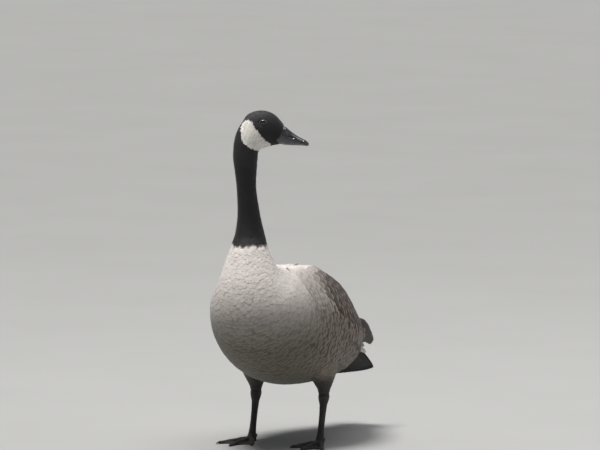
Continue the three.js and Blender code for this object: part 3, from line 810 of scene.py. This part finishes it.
t, a = roots(skin, 0.06, 9.2, lambda t: 0.00155, lambda t: 0.00125)
points = skin(t, a)
_, u, v = from_head(points)
keep = np.hypot(u, v) > BARE_EYE
t, a, points = t[keep], a[keep], points[keep]
tint, fringe = body_colours(t, a, points, dice.normal(0, 0.7, len(t)))
small = smooth(t / 4)
head_tufts = feathers(
    "head_tufts", skin, t, a, (2.4 + 2.4 * small) * MM, (0.75 + 0.35 * small) * MM,
    tint * dice.uniform(0.8, 1.2, (len(t), 1)), fringe, skin_patch(t, a), shape=TUFT,
    aim=dice.normal(0, 0.12, len(t)), root=-0.6 * MM, tip=dice.uniform(0.0, 0.35, len(t)) * MM,
    crown=0.12 * MM,
)
dress(head_tufts, fine_plumage, "black_plumage")
print("head tufts", len(t), "quads", len(head_tufts.data.polygons))

# %% Neck tufts, shorter where they end in the white
t, a = roots(skin, 9.0, 13.9, lambda t: 0.0030, lambda t: 0.0017)
points = skin(t, a)
tint, fringe = body_colours(t, a, points, dice.normal(0, 1.1, len(t)))
keep = tint.sum(-1) < 0.2
t, a, points, tint, fringe = t[keep], a[keep], points[keep], tint[keep], fringe[keep]
hang = 0.6 + 0.4 * smooth((points[:, 2] / MM - NECK_EDGE) / 16)
neck_tufts = feathers(
    "neck_tufts", skin, t, a, dice.uniform(5.0, 7.5, len(t)) * hang * MM, 1.25 * MM,
    tint * dice.uniform(0.75, 1.3, (len(t), 1)), fringe, skin_patch(t, a), shape=TUFT,
    aim=dice.normal(0, 0.08, len(t)), root=-0.9 * MM, tip=dice.uniform(0.1, 0.7, len(t)) * MM,
    crown=0.15 * MM,
)
dress(neck_tufts, fine_plumage, "black_plumage")
print("neck tufts", len(t), "quads", len(neck_tufts.data.polygons))

# %% [markdown]
# ## Contour feathers of breast, flanks and belly
# Rounded feathers overlap like shingles and give the breast its soft scales. A bump pattern
# would do from far off, but it has no edges to catch the light. They grow from small on the
# neck's base to broad on the flanks, where each row's pale tips draw the bars that cross the
# side. None is made where a wing would hide it.


# %% Body feathers
def size_on_body(t):
    return 0.55 + 0.45 * smooth((t - 13) / 6)


def under_wing(points):
    """Whether a feather on the body would lie hidden under a wing."""
    forward = forward_of(points)
    body_rows, front_rows = WING[:11], WING[3::-1]
    edge = np.interp(-forward, [-row[0] for row in body_rows], [row[5][1] for row in body_rows])
    ridge = np.interp(forward, [row[0] for row in front_rows], [row[1][0] for row in front_rows])
    covered = (forward < 84) & (forward > -185) & (points[..., 2] / MM > edge + 22)
    return covered & (np.abs(points[..., 0]) > (ridge + 12) * MM)


t, a = roots(
    skin, 12.35, 27.3, lambda t: 0.0072 * size_on_body(t), lambda t: 0.0088 * size_on_body(t),
)
points = skin(t, a)
shift = dice.normal(0, 1.5, len(t))
black = body_colours(t, a, points, shift)[0].sum(-1) < 0.05
keep = ~under_wing(points) & ~(black & (t < 15))
t, a, points = t[keep], a[keep], points[keep]
tint, fringe = body_colours(t, a, points, shift[keep])
grow = size_on_body(t)
shade, aim = dice.uniform(0.86, 1.1, (len(t), 1)), dice.normal(0, 0.09, len(t))
lift = dice.uniform(-0.5, 0.1, len(t)) + 0.6 * smooth((t - BREAST) / 4)
body_feathers = feathers(
    "body_feathers", skin, t, a, 23 * MM * grow, 7.2 * MM * grow, tint * shade, fringe,
    skin_patch(t, a), aim=aim, root=-1.8 * MM, tip=lift * MM, crown=0.25 * MM,
)
dress(body_feathers, contour_plumage, "pale_plumage")
print("body feathers", len(t), "quads", len(body_feathers.data.polygons))

# %% [markdown]
# ## Thighs
# The feathered shins reach from the flank to just above the ankle and darken downward. They
# could be part of the body's skin, but their feathers point down, not back. So each has its own
# cone, with its own rows of small feathers.


# %% Thighs
def shin_colour(t):
    return mix(linear((120, 110, 98)), linear((52, 46, 44)), smooth((t - 1.2) / 1.6))


for name, side in SIDES.items():
    surface = thigh_surface(side)
    core = tube(
        f"thigh_skin_{name}", surface, np.linspace(0, THIGH_END, 30), full_circle(40),
        tint=lambda t, a, p: shin_colour(t),
    )
    if side < 0:
        core.data.flip_normals()
    dress(core, under_skin, "pale_plumage", f"thigh_{name}")
    t, a = roots(surface, 0.6, 4.75, lambda t: 0.0045 - 0.0005 * t, lambda t: 0.0055 - 0.0008 * t)
    shade = shin_colour(t) * dice.uniform(0.8, 1.15, (len(t), 1))
    shin = feathers(
        f"thigh_feathers_{name}", surface, t, a, (15 - 1.9 * t) * MM, (5.2 - 0.75 * t) * MM, shade,
        shade * 1.6, skin_patch(t, a, THIGH_END), aim=dice.normal(0, 0.1, len(t)), root=-1.2 * MM,
        tip=dice.uniform(0.1, 0.9, len(t)) * MM, crown=0.4 * MM, outward=side,
    )
    dress(shin, contour_plumage, "pale_plumage")
    print("thigh", name, "feathers", len(t))

# %% [markdown]
# ## Wings
# A folded wing shows scapulars and coverts with pale fringes, which make the scalloped back, and
# its lower part is tucked into the long feathers of the flank. One surface with a pattern would
# look printed. A padded core carries real rows of feathers, and the colours change from brown to
# the flank's own along one line across the wing.

# %% The wing's colours
DARK, DARK_EDGE = linear((42, 31, 24)), linear((186, 158, 136))
FLIGHT, FLIGHT_EDGE = linear((30, 24, 21)), linear((112, 92, 76))
FLANK_LINE = ([0.2, 0.9, 1.6, 2.2, 3, 5, 6, 6.9], [0.0, 0.32, 0.61, 0.74, 0.78, 0.77, 0.84, 1.05])


def flank_line(t):
    """How far across the wing, from the ridge, the flank's feathers begin to cover it."""
    return np.interp(t, *FLANK_LINE)


def wing_colours(t, a, points):
    low, low_edge = flank_colours(points)
    start = 0.4 + 2.4 * smooth((0.45 - a) / 0.45)
    share = smooth((flank_line(t) - a) / 0.12 + 0.8) * smooth((t - start) / 2.8)
    return mix(low, DARK, share), mix(low_edge, DARK_EDGE, share)


print("the flank's line halfway", round(float(flank_line(4.0)), 2))

# %% The wing's core, bedded into the back at its front end
OUTER_SHARE = 0.8  # of the way round the core's ring, which shows


def sink(t, a):
    """How far the wing beds into the back at its front end, in millimetres."""
    return 5.5 * smooth((3.6 - t) / 2.0) * smooth((0.4 - a) / 0.4)


def wing_core(surface, side):
    """Rings of a padded shell: its outside follows the wing, its inside closes it."""
    def ring(t, a):
        share = np.clip(a / OUTER_SHARE, 0, 1)
        normal, _, _ = slopes(surface, t, np.clip(share, 0.02, 0.98))
        points = surface(t, share) - side * normal * ((2.6 + sink(t, share)) * MM)[..., None]
        edge, ridge = surface(t, np.ones_like(t)), surface(t, np.zeros_like(t))
        depth = (16 - 8 * smooth((t - 8) / 2)) * MM
        low = edge + np.stack([-side * 1.4 * depth, 0 * depth, depth], -1)
        high = ridge + np.stack([side * 0.004 + 0 * depth, 0 * depth, -1.4 * depth], -1)
        back = smooth((a - OUTER_SHARE) / 0.1)[..., None]
        inner = low + (high - low) * smooth((a - 0.86) / 0.14)[..., None]
        return np.where(a[..., None] <= OUTER_SHARE, points, points + (inner - points) * back)

    return ring


def core_colour(t, a, points):
    return 0.8 * wing_colours(t, np.clip(a / OUTER_SHARE, 0, 1), points)[0]


print("front of the ridge sinks", round(float(sink(1.0, 0.0)), 1), "mm")

# %% [markdown]
# ## Short and long wing feathers
# Coverts and scapulars grow in rows from the wing's surface. Tertials and primaries are long and
# stiff: each has its own root and tip, and is a closed vane of real thickness. The tertials lie
# over the primaries, and the primaries are stacked, each a little lower and longer than the one
# above.


# %% Rows of short feathers, and long vanes
def wing_bake(t, a):
    along = np.clip(t, 0, WING_END) / WING_END
    return np.stack([0.02 + 0.96 * np.clip(a, 0, 1), 0.02 + 0.96 * along], -1)


def wing_tract(name, side, finish, area, length, half, rows, columns, rise, keep):
    """Rows of short feathers over part of the wing; area is the first and last t, then a."""
    surface = wing_surface(SIDES[side])
    t, a = roots(surface, *area[:2], rows, columns, *area[2:], jitter=0.22)
    kept = keep(t, a)
    t, a = t[kept], a[kept]
    tint, fringe = wing_colours(t, a, surface(t, a))
    shade = dice.uniform(0.82, 1.16, (len(t), 1))
    lift, low = dice.uniform(*rise, len(t)), sink(t, a)
    coat = feathers(
        f"{name}_{side}", surface, t, a, length(t) * MM, half(t) * MM, tint * shade, fringe,
        wing_bake(t, a), aim=dice.normal(0, 0.05, len(t)), root=(-2.4 - low) * MM,
        tip=(lift - low) * MM, crown=0.04 * half(t) * MM, outward=SIDES[side],
    )
    return dress(coat, finish, "brown_plumage")


def wing_vanes(name, side, roots_at, tips_at, half, lift, tint, edge):
    """Long feathers, each from its own root to its own tip, both given as t and a."""
    surface = wing_surface(SIDES[side])
    (t, a), (t_end, a_end) = roots_at, tips_at
    _, per_t, _ = slopes(surface, t, a)
    _, _, per_a = slopes(surface, 0.5 * (t + t_end), a)
    length = (t_end - t) * per_t
    aim = np.arctan2((a_end - a) * per_a, length)
    length = np.hypot(length, (a_end - a) * per_a)
    vanes = feathers(
        f"{name}_{side}", surface, t, a, length, half, tint, edge, wing_bake(t, a), shape=LONG,
        aim=aim, root=lift[0] * MM, tip=lift[1] * MM, crown=1.0 * MM, outward=SIDES[side],
        thick=0.7 * MM,
    )
    return dress(vanes, long_plumage, "brown_plumage")


print("wing stations", WING_END + 1)

# %% [markdown]
# ## The flank's bridge
# On the living bird no step shows where the wing ends and the belly begins, because the flank's
# feathers lie over both. A gap there could be hidden with longer feathers, but they would stick
# out. Instead a curved pad spans from the wing's side over its lower edge to the nearest skin
# below, and its own feathers follow the curve.

# %% The pad between wing and belly
PAD_START, PAD_END, PAD_ROWS = -1.5, 9, 22


def flank_pad(side):
    """A surface from the wing's side to the belly: t as on the wing, e from 0 above to 1 below."""
    t = np.linspace(PAD_START, PAD_END, PAD_ROWS)
    wing = wing_surface(side)
    top, edge = wing(t, np.full(PAD_ROWS, 0.8)), wing(t, np.ones(PAD_ROWS))
    around, along = np.meshgrid(np.linspace(0.9, 2.9, 160), np.linspace(15, 26, 240))
    shell = skin(along, side * around).reshape(-1, 3)
    wanted = edge - np.array([0, 0, 34 * MM])
    apart = np.hypot(*(shell[None, :, n] - wanted[:, None, n] for n in (1, 2)))
    low = shell[np.argmin(apart, 1)]
    edge = edge + np.array([side * 1.0, 0, -5.0]) * MM
    rows_per_t = (PAD_ROWS - 1) / (PAD_END - PAD_START)

    def surface(t, e):
        t, e = arrays(t, e)
        p0, p1, p2 = (curve(points, (t - PAD_START) * rows_per_t) for points in (top, edge, low))
        e = e[..., None]
        return (1 - e) ** 2 * p0 + 2 * e * (1 - e) * p1 + e**2 * p2

    return surface


def flank_bridge(side):
    pad = flank_pad(SIDES[side])
    t, e = roots(pad, 0.15, 7.5, lambda t: 0.0071, lambda t: 0.0086, 0.0, 1.0, jitter=0.22)
    tint, fringe = flank_colours(pad(t, e))
    bridge = feathers(
        f"flank_bridge_{side}", pad, t, e, 27 * MM, 8 * MM,
        tint * dice.uniform(0.84, 1.12, (len(t), 1)), fringe, wing_bake(t, e),
        aim=dice.normal(0, 0.05, len(t)), root=-2.5 * MM, tip=dice.uniform(0.0, 1.0, len(t)) * MM,
        crown=0.5 * MM, outward=SIDES[side],
    )
    return dress(bridge, contour_plumage, "brown_plumage")


print("pad rows per wing station", (PAD_ROWS - 1) / (PAD_END - PAD_START))


# %% Both wings
def wing_rows(side):
    """The three tracts of short feathers and the bridge, from the wing's tip to the flank."""
    coverts = wing_tract(
        "coverts", side, wing_plumage, (5.4, 9.3, 0.3, 0.97), lambda t: 40 + 0 * t,
        lambda t: 11.5 + 0 * t, lambda t: 0.014, lambda t: 0.016, (0.2, 1.0),
        lambda t, a: a < 1.45 - 0.06 * t,
    )
    scapulars = wing_tract(
        "scapulars", side, wing_plumage, (0.5, 7.7, 0.0, 1.0), lambda t: 27 + 4 * t,
        lambda t: 8 + 1.05 * t, lambda t: 0.0095 + 0.0014 * t, lambda t: 0.0110 + 0.0014 * t,
        (1.0, 1.7), lambda t, a: a < np.minimum(flank_line(t) + 0.03, 1.5 - 0.14 * t),
    )
    cover = wing_tract(
        "flank_cover", side, contour_plumage, (0.0, 6.7, 0.0, 0.93), lambda t: 24 + 0.8 * t,
        lambda t: 7.4 + 0.1 * t, lambda t: 0.0070, lambda t: 0.0084, (0.3, 1.2),
        lambda t, a: a > flank_line(t),
    )
    return [coverts, scapulars, cover, flank_bridge(side)]


def wing_fan(side):
    """Five tertials over nine primaries."""
    n = np.arange(5)
    tertials = wing_vanes(
        "tertials", side, (6.0 + 0.4 * n, 0.1 + 0.15 * n), (10.7 + 0.42 * n, 0.14 + 0.15 * n),
        19 * MM, (-1.5 + 0 * n, 1.6 - 0.5 * n), mix(DARK, FLIGHT, n / 8), DARK_EDGE * 0.7,
    )
    n = np.arange(9)
    primaries = wing_vanes(
        "primaries", side, (np.full(9, 8.6), np.full(9, 0.4)),
        (11.6 + 0.21 * n, 0.36 + 0.02 * n), (20 - 0.9 * n) * MM,
        (-2.0 - 0.7 * n, -1.2 - 0.72 * n), FLIGHT, FLIGHT_EDGE,
    )
    return [tertials, primaries]


for name, side in SIDES.items():
    core = tube(
        f"wing_core_{name}", wing_core(wing_surface(side), side), np.linspace(0.3, 10.6, 70),
        np.linspace(0, 1, 60, endpoint=False), tint=core_colour,
    )
    if side < 0:
        core.data.flip_normals()
    dress(core, under_skin, "brown_plumage", f"wing_{name}")
    for piece in wing_rows(name) + wing_fan(name):
        print(piece.name, "quads", len(piece.data.polygons))

# %% [markdown]
# ## Tail
# Stiff black feathers fan out over each other from the middle, with a white band of coverts
# over their roots and soft white ones beneath. The fan could be one plate with grooves, but the
# stepped tips show against the light. So each feather is a closed vane, laid from the outside
# in, and the coverts sit on a small core that fills the root.

# %% Tail feathers
TAIL_VANES, TAIL_SPREAD = 16, math.radians(24)

fan = np.linspace(-1, 1, TAIL_VANES)
fan = fan[np.argsort(-np.abs(fan), kind="stable")]
zero = np.zeros(TAIL_VANES)
tail_vanes = feathers(
    "tail_feathers", tail_surface, zero, 6 * fan, (120 - 13 * np.abs(fan) ** 1.6) * MM, 12.5 * MM,
    linear((8, 7, 7)), linear((15, 14, 14)), np.stack([0.5 + 0.45 * fan, 0.5 + zero], -1),
    shape=LONG, aim=TAIL_SPREAD * fan, root=0.0, tip=(2.5 - 4.2 * np.abs(fan)) * MM,
    crown=0.9 * MM, thick=0.6 * MM,
)
dress(tail_vanes, long_plumage, "black_plumage", "tail", "undertail")
print("tail feathers", TAIL_VANES)

# %% Tail coverts and the core that they sit on
CORE_REACH, CORE_HALF, CORE_DEPTH = 46, 24, 11  # millimetres


def tail_coverts(name, reach, outward, heights, count):
    """White feathers scattered over one face of the tail's root, the rear ones laid first."""
    along = dice.uniform(-22, reach, count)
    across = dice.uniform(-1, 1, count) * (22 + 0.28 * (along + 22))
    order = np.argsort(-along)
    along, across = along[order], across[order]
    coverts = feathers(
        name, tail_surface, along, across, 30 * MM, 8.5 * MM,
        WHITE * dice.uniform(0.85, 1.1, (count, 1)), WHITE_EDGE,
        np.stack([0.5 + across / 120, 0.3 + along / 200], -1), aim=across * 0.011,
        root=-1.0 * MM + heights(along) * MM, tip=0.5 * MM + heights(along + 20) * MM,
        crown=0.5 * MM, outward=outward,
    )
    return dress(coverts, contour_plumage, "white_plumage")


def tail_root(along, a):
    """An oval pad round the tail's root, in rings along it."""
    round_end = np.sqrt(np.clip(1.02 - (along / CORE_REACH) ** 2, 0.02, 1))
    up = MM * CORE_DEPTH * np.cos(a) * round_end
    pad = tail_surface(along, CORE_HALF * np.sin(a) * round_end)
    return pad + np.stack([0 * a, 0 * a, up], -1)


tail_coverts("uppertail_coverts", 22, 1, lambda s: 6 * (1 - smooth((s + 20) / 60)) + 3, 110)
tail_coverts("undertail_coverts", 34, -1, lambda s: 15 * (1 - smooth((s + 25) / 85)) + 2, 190)
tail_core = tube(
    "tail_core", tail_root, np.linspace(-44, 44, 30), full_circle(36),
    tint=lambda t, a, p: np.broadcast_to(WHITE, p.shape),
)
dress(tail_core, under_skin, "white_plumage")
print("tail core points", len(tail_core.data.vertices))

# %% [markdown]
# ## Bill
# A goose's bill is one black horn sheath with a mouth line, open nostrils and a raised nail at
# its tip. It could be cut from a block with booleans, which leaves hard edges. Here it is rings
# from the forehead to the nail, and the mouth line and nostrils are pressed into it by moving
# points inward, which keeps the surface smooth round them.

# %% The bill's shape
BILL = np.array([  # [ahead of the eye, ridge height, lower edge, half-width]
    (24, -9, -38.5, 12.7), (32, -6.6, -40, 12.9), (40, -9, -41.4, 12), (50, -17.2, -42, 10.9),
    (61, -25, -42.2, 10.2), (71, -30.6, -42.6, 9.4), (78, -35, -43.2, 7), (81.6, -38.6, -42.6, 3.4),
], float)
MOUTH = np.array([  # [ahead of the eye, height]
    (10, -35.2), (22, -35.2), (34, -36.2), (45, -37.6), (61, -39.6), (75, -41), (90, -41.6),
])
NOSTRIL, NOSTRIL_SIZE, NOSTRIL_SLOPE = (48.5, -26), (6.4, 1.6), math.radians(-24)
NAIL_START, MOUTH_END = 71.5, 78


def nostril_press(u, v):
    """How deep the nostril's slit and the hollow round it are, in millimetres."""
    across, along = math.cos(NOSTRIL_SLOPE), math.sin(NOSTRIL_SLOPE)
    du, dv = u - NOSTRIL[0], v - NOSTRIL[1]
    p, q = du * across + dv * along, dv * across - du * along
    slit = smooth(1.5 - np.hypot(p / NOSTRIL_SIZE[0], q / NOSTRIL_SIZE[1]))
    hollow = smooth(1.4 - np.hypot(p / (NOSTRIL_SIZE[0] * 1.5), q / (NOSTRIL_SIZE[1] * 2.4)))
    return 2.6 * slit + 0.5 * hollow


def bill_surface(s, a):
    u, top, bottom, half = np.moveaxis(curve(BILL, s), -1, 0)
    middle = bottom + 0.38 * (top - bottom)
    c = np.cos(a)
    v = middle + np.abs(c) ** 0.9 * np.where(c > 0, top - middle, bottom - middle)
    x = half * np.sign(np.sin(a)) * np.abs(np.sin(a)) ** 0.92
    lip = np.interp(u, MOUTH[:, 0], MOUTH[:, 1])
    groove = np.exp(-((v - lip) / 0.55) ** 2) * (np.abs(x) / half > 0.2)
    below = smooth((lip - v) / 0.8) * (u < MOUTH_END)
    press = 0.75 * groove + nostril_press(u, v) + 0.5 * below
    nail = smooth((u - NAIL_START) / 1.5) * (c > 0.2) * 0.5
    x = x * (1 - (press - nail) / half)
    return to_head(x, u, v + nail)


print("bill length", BILL[-1, 0] - BILL[0, 0], "mm")


# %% The bill's horn
def horn_material():
    made, shader, start = material("horn", 0.3, IOR=1.8)
    worn = noise(start, 160, 5, (1, 1, 2)).ramp(0.35, 0.75)
    link(shader, "Base Color", worn.mixed((0.012, 0.012, 0.015, 1), (0.040, 0.040, 0.048, 1)))
    link(shader, "Roughness", worn * 0.12 + 0.18)
    bump(shader, noise(start, 300, 4), 0.0001, 0.3)
    return made


bill = tube("bill", bill_surface, np.linspace(0, len(BILL) - 1, 150)[::-1], full_circle(160))
dress(bill, horn_material(), "bill", "bill_upper", "bill_lower")
print("bill points", len(bill.data.vertices))

# %% [markdown]
# ## Eyes
# Each eye is a polished ball, nearly black, with a dark brown iris that only shows up close, and
# a thin ring of bare grey lid round it. A glass shell over an iris would be truer, but at this
# size a clear coat on one ball gives a glint that is near enough.


# %% Finishes of eye and lid
def eye_material():
    made, shader, start = material(
        "eye_gloss", 0.04, IOR=1.45, Coat_Weight=1.0, Coat_Roughness=0.02,
    )
    outward = start.node("ShaderNodeSeparateXYZ", {0: start.node("ShaderNodeUVMap", uv_map="Vane")}, 1)
    brown = outward.ramp(0.70, 0.76).mixed((0.022, 0.009, 0.004, 1), (0.002, 0.002, 0.002, 1))
    link(shader, "Base Color", brown)
    return made


def lid_material():
    made, shader, start = material("lid_skin", 0.5)
    fine = noise(start, 1500, 3)
    link(shader, "Base Color", fine.mixed((0.05, 0.048, 0.05, 1), (0.12, 0.115, 0.115, 1)))
    bump(shader, fine, 0.0002)
    return made


eye_finish, lid_finish = eye_material(), lid_material()
print("eye finishes", eye_finish.name, lid_finish.name)

# %% Eyes and lids
BALL_GRID, LID_GRID = (40, 64), (72, 20)
LID_OUT, LID_RADIUS, LID_THICK = 3.7, 5.3, 0.85


def eyeball(name, side):
    rings = np.linspace(0, math.pi, BALL_GRID[0])
    polar, around = np.meshgrid(rings, full_circle(BALL_GRID[1]), indexing="ij")
    x = side * (EYE_OUT + EYE_RADIUS * -np.cos(polar))
    ahead = EYE_RADIUS * np.sin(polar) * np.cos(around)
    up = EYE_RADIUS * np.sin(polar) * np.sin(around)
    uv = np.stack([around / FULL_TURN, polar / math.pi], -1)
    faces = grid_faces(*BALL_GRID, True)
    ball = build(
        f"eyeball_{name}", to_head(x, ahead, up), faces if side > 0 else faces[:, ::-1], uv, uv,
    )
    return dress(ball, eye_finish, "eye", f"eye_{name}")


def lids(name, side):
    """A ring of lid, a little longer than high, that thickens and thins as it goes round."""
    rows, columns = LID_GRID[0] + 1, LID_GRID[1]
    turn, tubular = np.meshgrid(full_circle(LID_GRID[0]), full_circle(columns), indexing="ij")
    minor = LID_THICK + 0.048 * np.cos(9 * turn)
    reach = LID_RADIUS * (1 + 0.05 * np.cos(2 * turn)) + minor * np.cos(tubular)
    ahead, up = reach * np.cos(turn) * 1.05, reach * np.sin(turn) * 0.93
    out = EYE_OUT + LID_OUT + minor * np.sin(tubular) - 0.05 * np.abs(up)
    points = to_head(side * out, ahead, up)
    points = np.concatenate([points, points[:1]], 0)
    uv = np.stack(np.meshgrid(np.arange(columns) / columns, np.arange(rows) / rows), -1)
    faces = grid_faces(rows, columns, True)
    ring = build(f"lids_{name}", points, faces if side > 0 else faces[:, ::-1], uv, uv)
    return dress(ring, lid_finish, "eye")


for name, side in SIDES.items():
    print(eyeball(name, side).name, lids(name, side).name)

# %% [markdown]
# ## Legs and feet
# A goose's legs are dry leather with small scales, and webs between the toes. The solids have
# the right form, but facets. A copy of each leg and foot is joined, remeshed into one smooth
# skin and given scales, so no line shows where shin and toes meet. Subdividing the solids would
# keep those lines.


# %% Leg skin
def leg_material():
    made, shader, start = material("leg_scales", 0.5, Specular_IOR_Level=0.4)
    inputs = {"Vector": stretched(start, (1, 1, 0.8)), "Scale": 480.0}
    crack = start.node("ShaderNodeTexVoronoi", inputs, feature="DISTANCE_TO_EDGE").ramp(0.0, 0.12)
    patchy = noise(start, 90, 4).ramp(0.3, 0.7)
    colour = patchy.mixed((0.022, 0.019, 0.020, 1), (0.05, 0.043, 0.043, 1))
    link(shader, "Base Color", crack.mixed((0.012, 0.010, 0.010, 1), colour))
    bump(shader, crack, 0.0004, 0.7)
    return made


leg_finish = leg_material()
print("leg finish", leg_finish.name)

# %% Legs, toes and webs
VOXEL = 0.9 * MM


def joined_copy(name, parts):
    """A new object with the faces of all the parts; the parts themselves stay as they are."""
    points, faces, base = [], [], 0
    for part in parts:
        points += [tuple(vertex.co) for vertex in part.data.vertices]
        faces += [[base + n for n in polygon.vertices] for polygon in part.data.polygons]
        base = len(points)
    mesh = bpy.data.meshes.new(name)
    mesh.from_pydata(points, [], faces)
    copy = bpy.data.objects.new(name, mesh)
    bpy.context.scene.collection.objects.link(copy)
    return copy


def remeshed(piece):
    remesh = piece.modifiers.new("Remesh", "REMESH")
    remesh.mode, remesh.voxel_size = "VOXEL", VOXEL
    soft = piece.modifiers.new("Smooth", "SMOOTH")
    soft.factor, soft.iterations = 0.6, 4
    bpy.context.view_layer.update()
    evaluated = piece.evaluated_get(bpy.context.evaluated_depsgraph_get())
    done = bpy.data.meshes.new_from_object(evaluated)
    piece.modifiers.clear()
    piece.data = done
    done.polygons.foreach_set("use_smooth", np.ones(len(done.polygons), bool))
    return piece


for name in SIDES:
    parts = [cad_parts[f"leg_{name}"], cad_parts[f"foot_{name}"]]
    leg = remeshed(joined_copy(f"leg_and_foot_{name}", parts))
    dress(leg, leg_finish, "leg_skin", f"leg_{name}", f"foot_{name}")
    print("leg", name, "faces", len(leg.data.polygons))

# %% [markdown]
# ## Camera
# The camera stands where the photograph's did, far off with a long lens. It could be aimed by
# eye alone, but a size for one pixel and the place of the feet in the frame nearly fix it. The
# lens and the feet's place carry small corrections that were fitted.

# %% The camera
PIXEL = 1.8 * MM
FRAME_WIDTH, FRAME_MIDDLE = 600, (300, 224)
FOOT_PIXEL = (287, 440)
SENSOR, LENS_SHARE = 36, 0.992
AZIMUTH, ELEVATION, DISTANCE = math.radians(25), math.radians(6), 14.0

right = Vector((math.cos(AZIMUTH), math.sin(AZIMUTH), 0))
level = math.cos(ELEVATION)
toward = Vector((math.sin(AZIMUTH) * level, -math.cos(AZIMUTH) * level, math.sin(ELEVATION)))
above = toward.cross(right)
feet = Vector((0, -MIDDLE_BACK * MM, 6 * MM))
across_frame, up_frame = FRAME_MIDDLE[0] - FOOT_PIXEL[0], FOOT_PIXEL[1] - FRAME_MIDDLE[1]
centre = feet + right * across_frame * PIXEL + above * up_frame * PIXEL
optics = bpy.data.cameras.new("camera")
optics.sensor_width = SENSOR
optics.lens = LENS_SHARE * SENSOR * DISTANCE / (FRAME_WIDTH * PIXEL)
optics.clip_end = 200
camera = bpy.data.objects.new("camera", optics)
camera.location = centre + toward * DISTANCE
camera.rotation_euler = toward.to_track_quat("Z", "Y").to_euler()
bpy.context.scene.collection.objects.link(camera)
bpy.context.scene.camera = camera
print("lens", round(optics.lens), "mm")

# %% [markdown]
# ## Light and floor
# Light comes softly from high up, so the breast is bright above and shaded below, and painted
# shade in the plumage's colour darkens it further downward. A picture of a sky could light it,
# but a wide sun, one round lamp and a plain world can each be changed with one number. The
# Standard view transform keeps black and white plumage further apart than the default one does.


# %% The floor, the lights and the world
def aim_light(light, name, direction):
    holder = bpy.data.objects.new(name, light)
    holder.rotation_euler = direction.to_track_quat("Z", "Y").to_euler()
    bpy.context.scene.collection.objects.link(holder)
    return holder


def lamp(name, location, target, size, power):
    light = bpy.data.lights.new(name, "AREA")
    light.shape, light.size, light.energy = "DISK", size, power
    aim_light(light, name, Vector(location) - Vector(target)).location = location


def sun(name, toward_light, strength, spread, colour):
    light = bpy.data.lights.new(name, "SUN")
    light.energy, light.angle, light.color = strength, math.radians(spread), colour
    aim_light(light, name, Vector(toward_light))


bpy.ops.mesh.primitive_plane_add(size=120, location=(0, 0, 0))
floor = bpy.context.object
floor.name = "floor"
paper, shader, start = material("paper", 0.9)
link(shader, "Base Color", noise(start, 3, 2).mixed((0.33, 0.33, 0.325, 1), (0.36, 0.36, 0.355, 1)))
floor.data.materials.append(paper)
sun("key", (-0.13, -0.22, 0.967), 3.7, 20, (1, 0.985, 0.96))
lamp("top", (0.3, 0.2, 2.9), (0, 0, 0.4), 2.6, 40)
world = bpy.context.scene.world or bpy.data.worlds.new("studio")
bpy.context.scene.world = world
world.use_nodes = True
background = world.node_tree.nodes["Background"]
background.inputs["Color"].default_value = (0.9, 0.93, 0.96, 1)
background.inputs["Strength"].default_value = 0.22
bpy.context.scene.view_settings.view_transform = "Standard"
print("lights", len(bpy.data.lights))
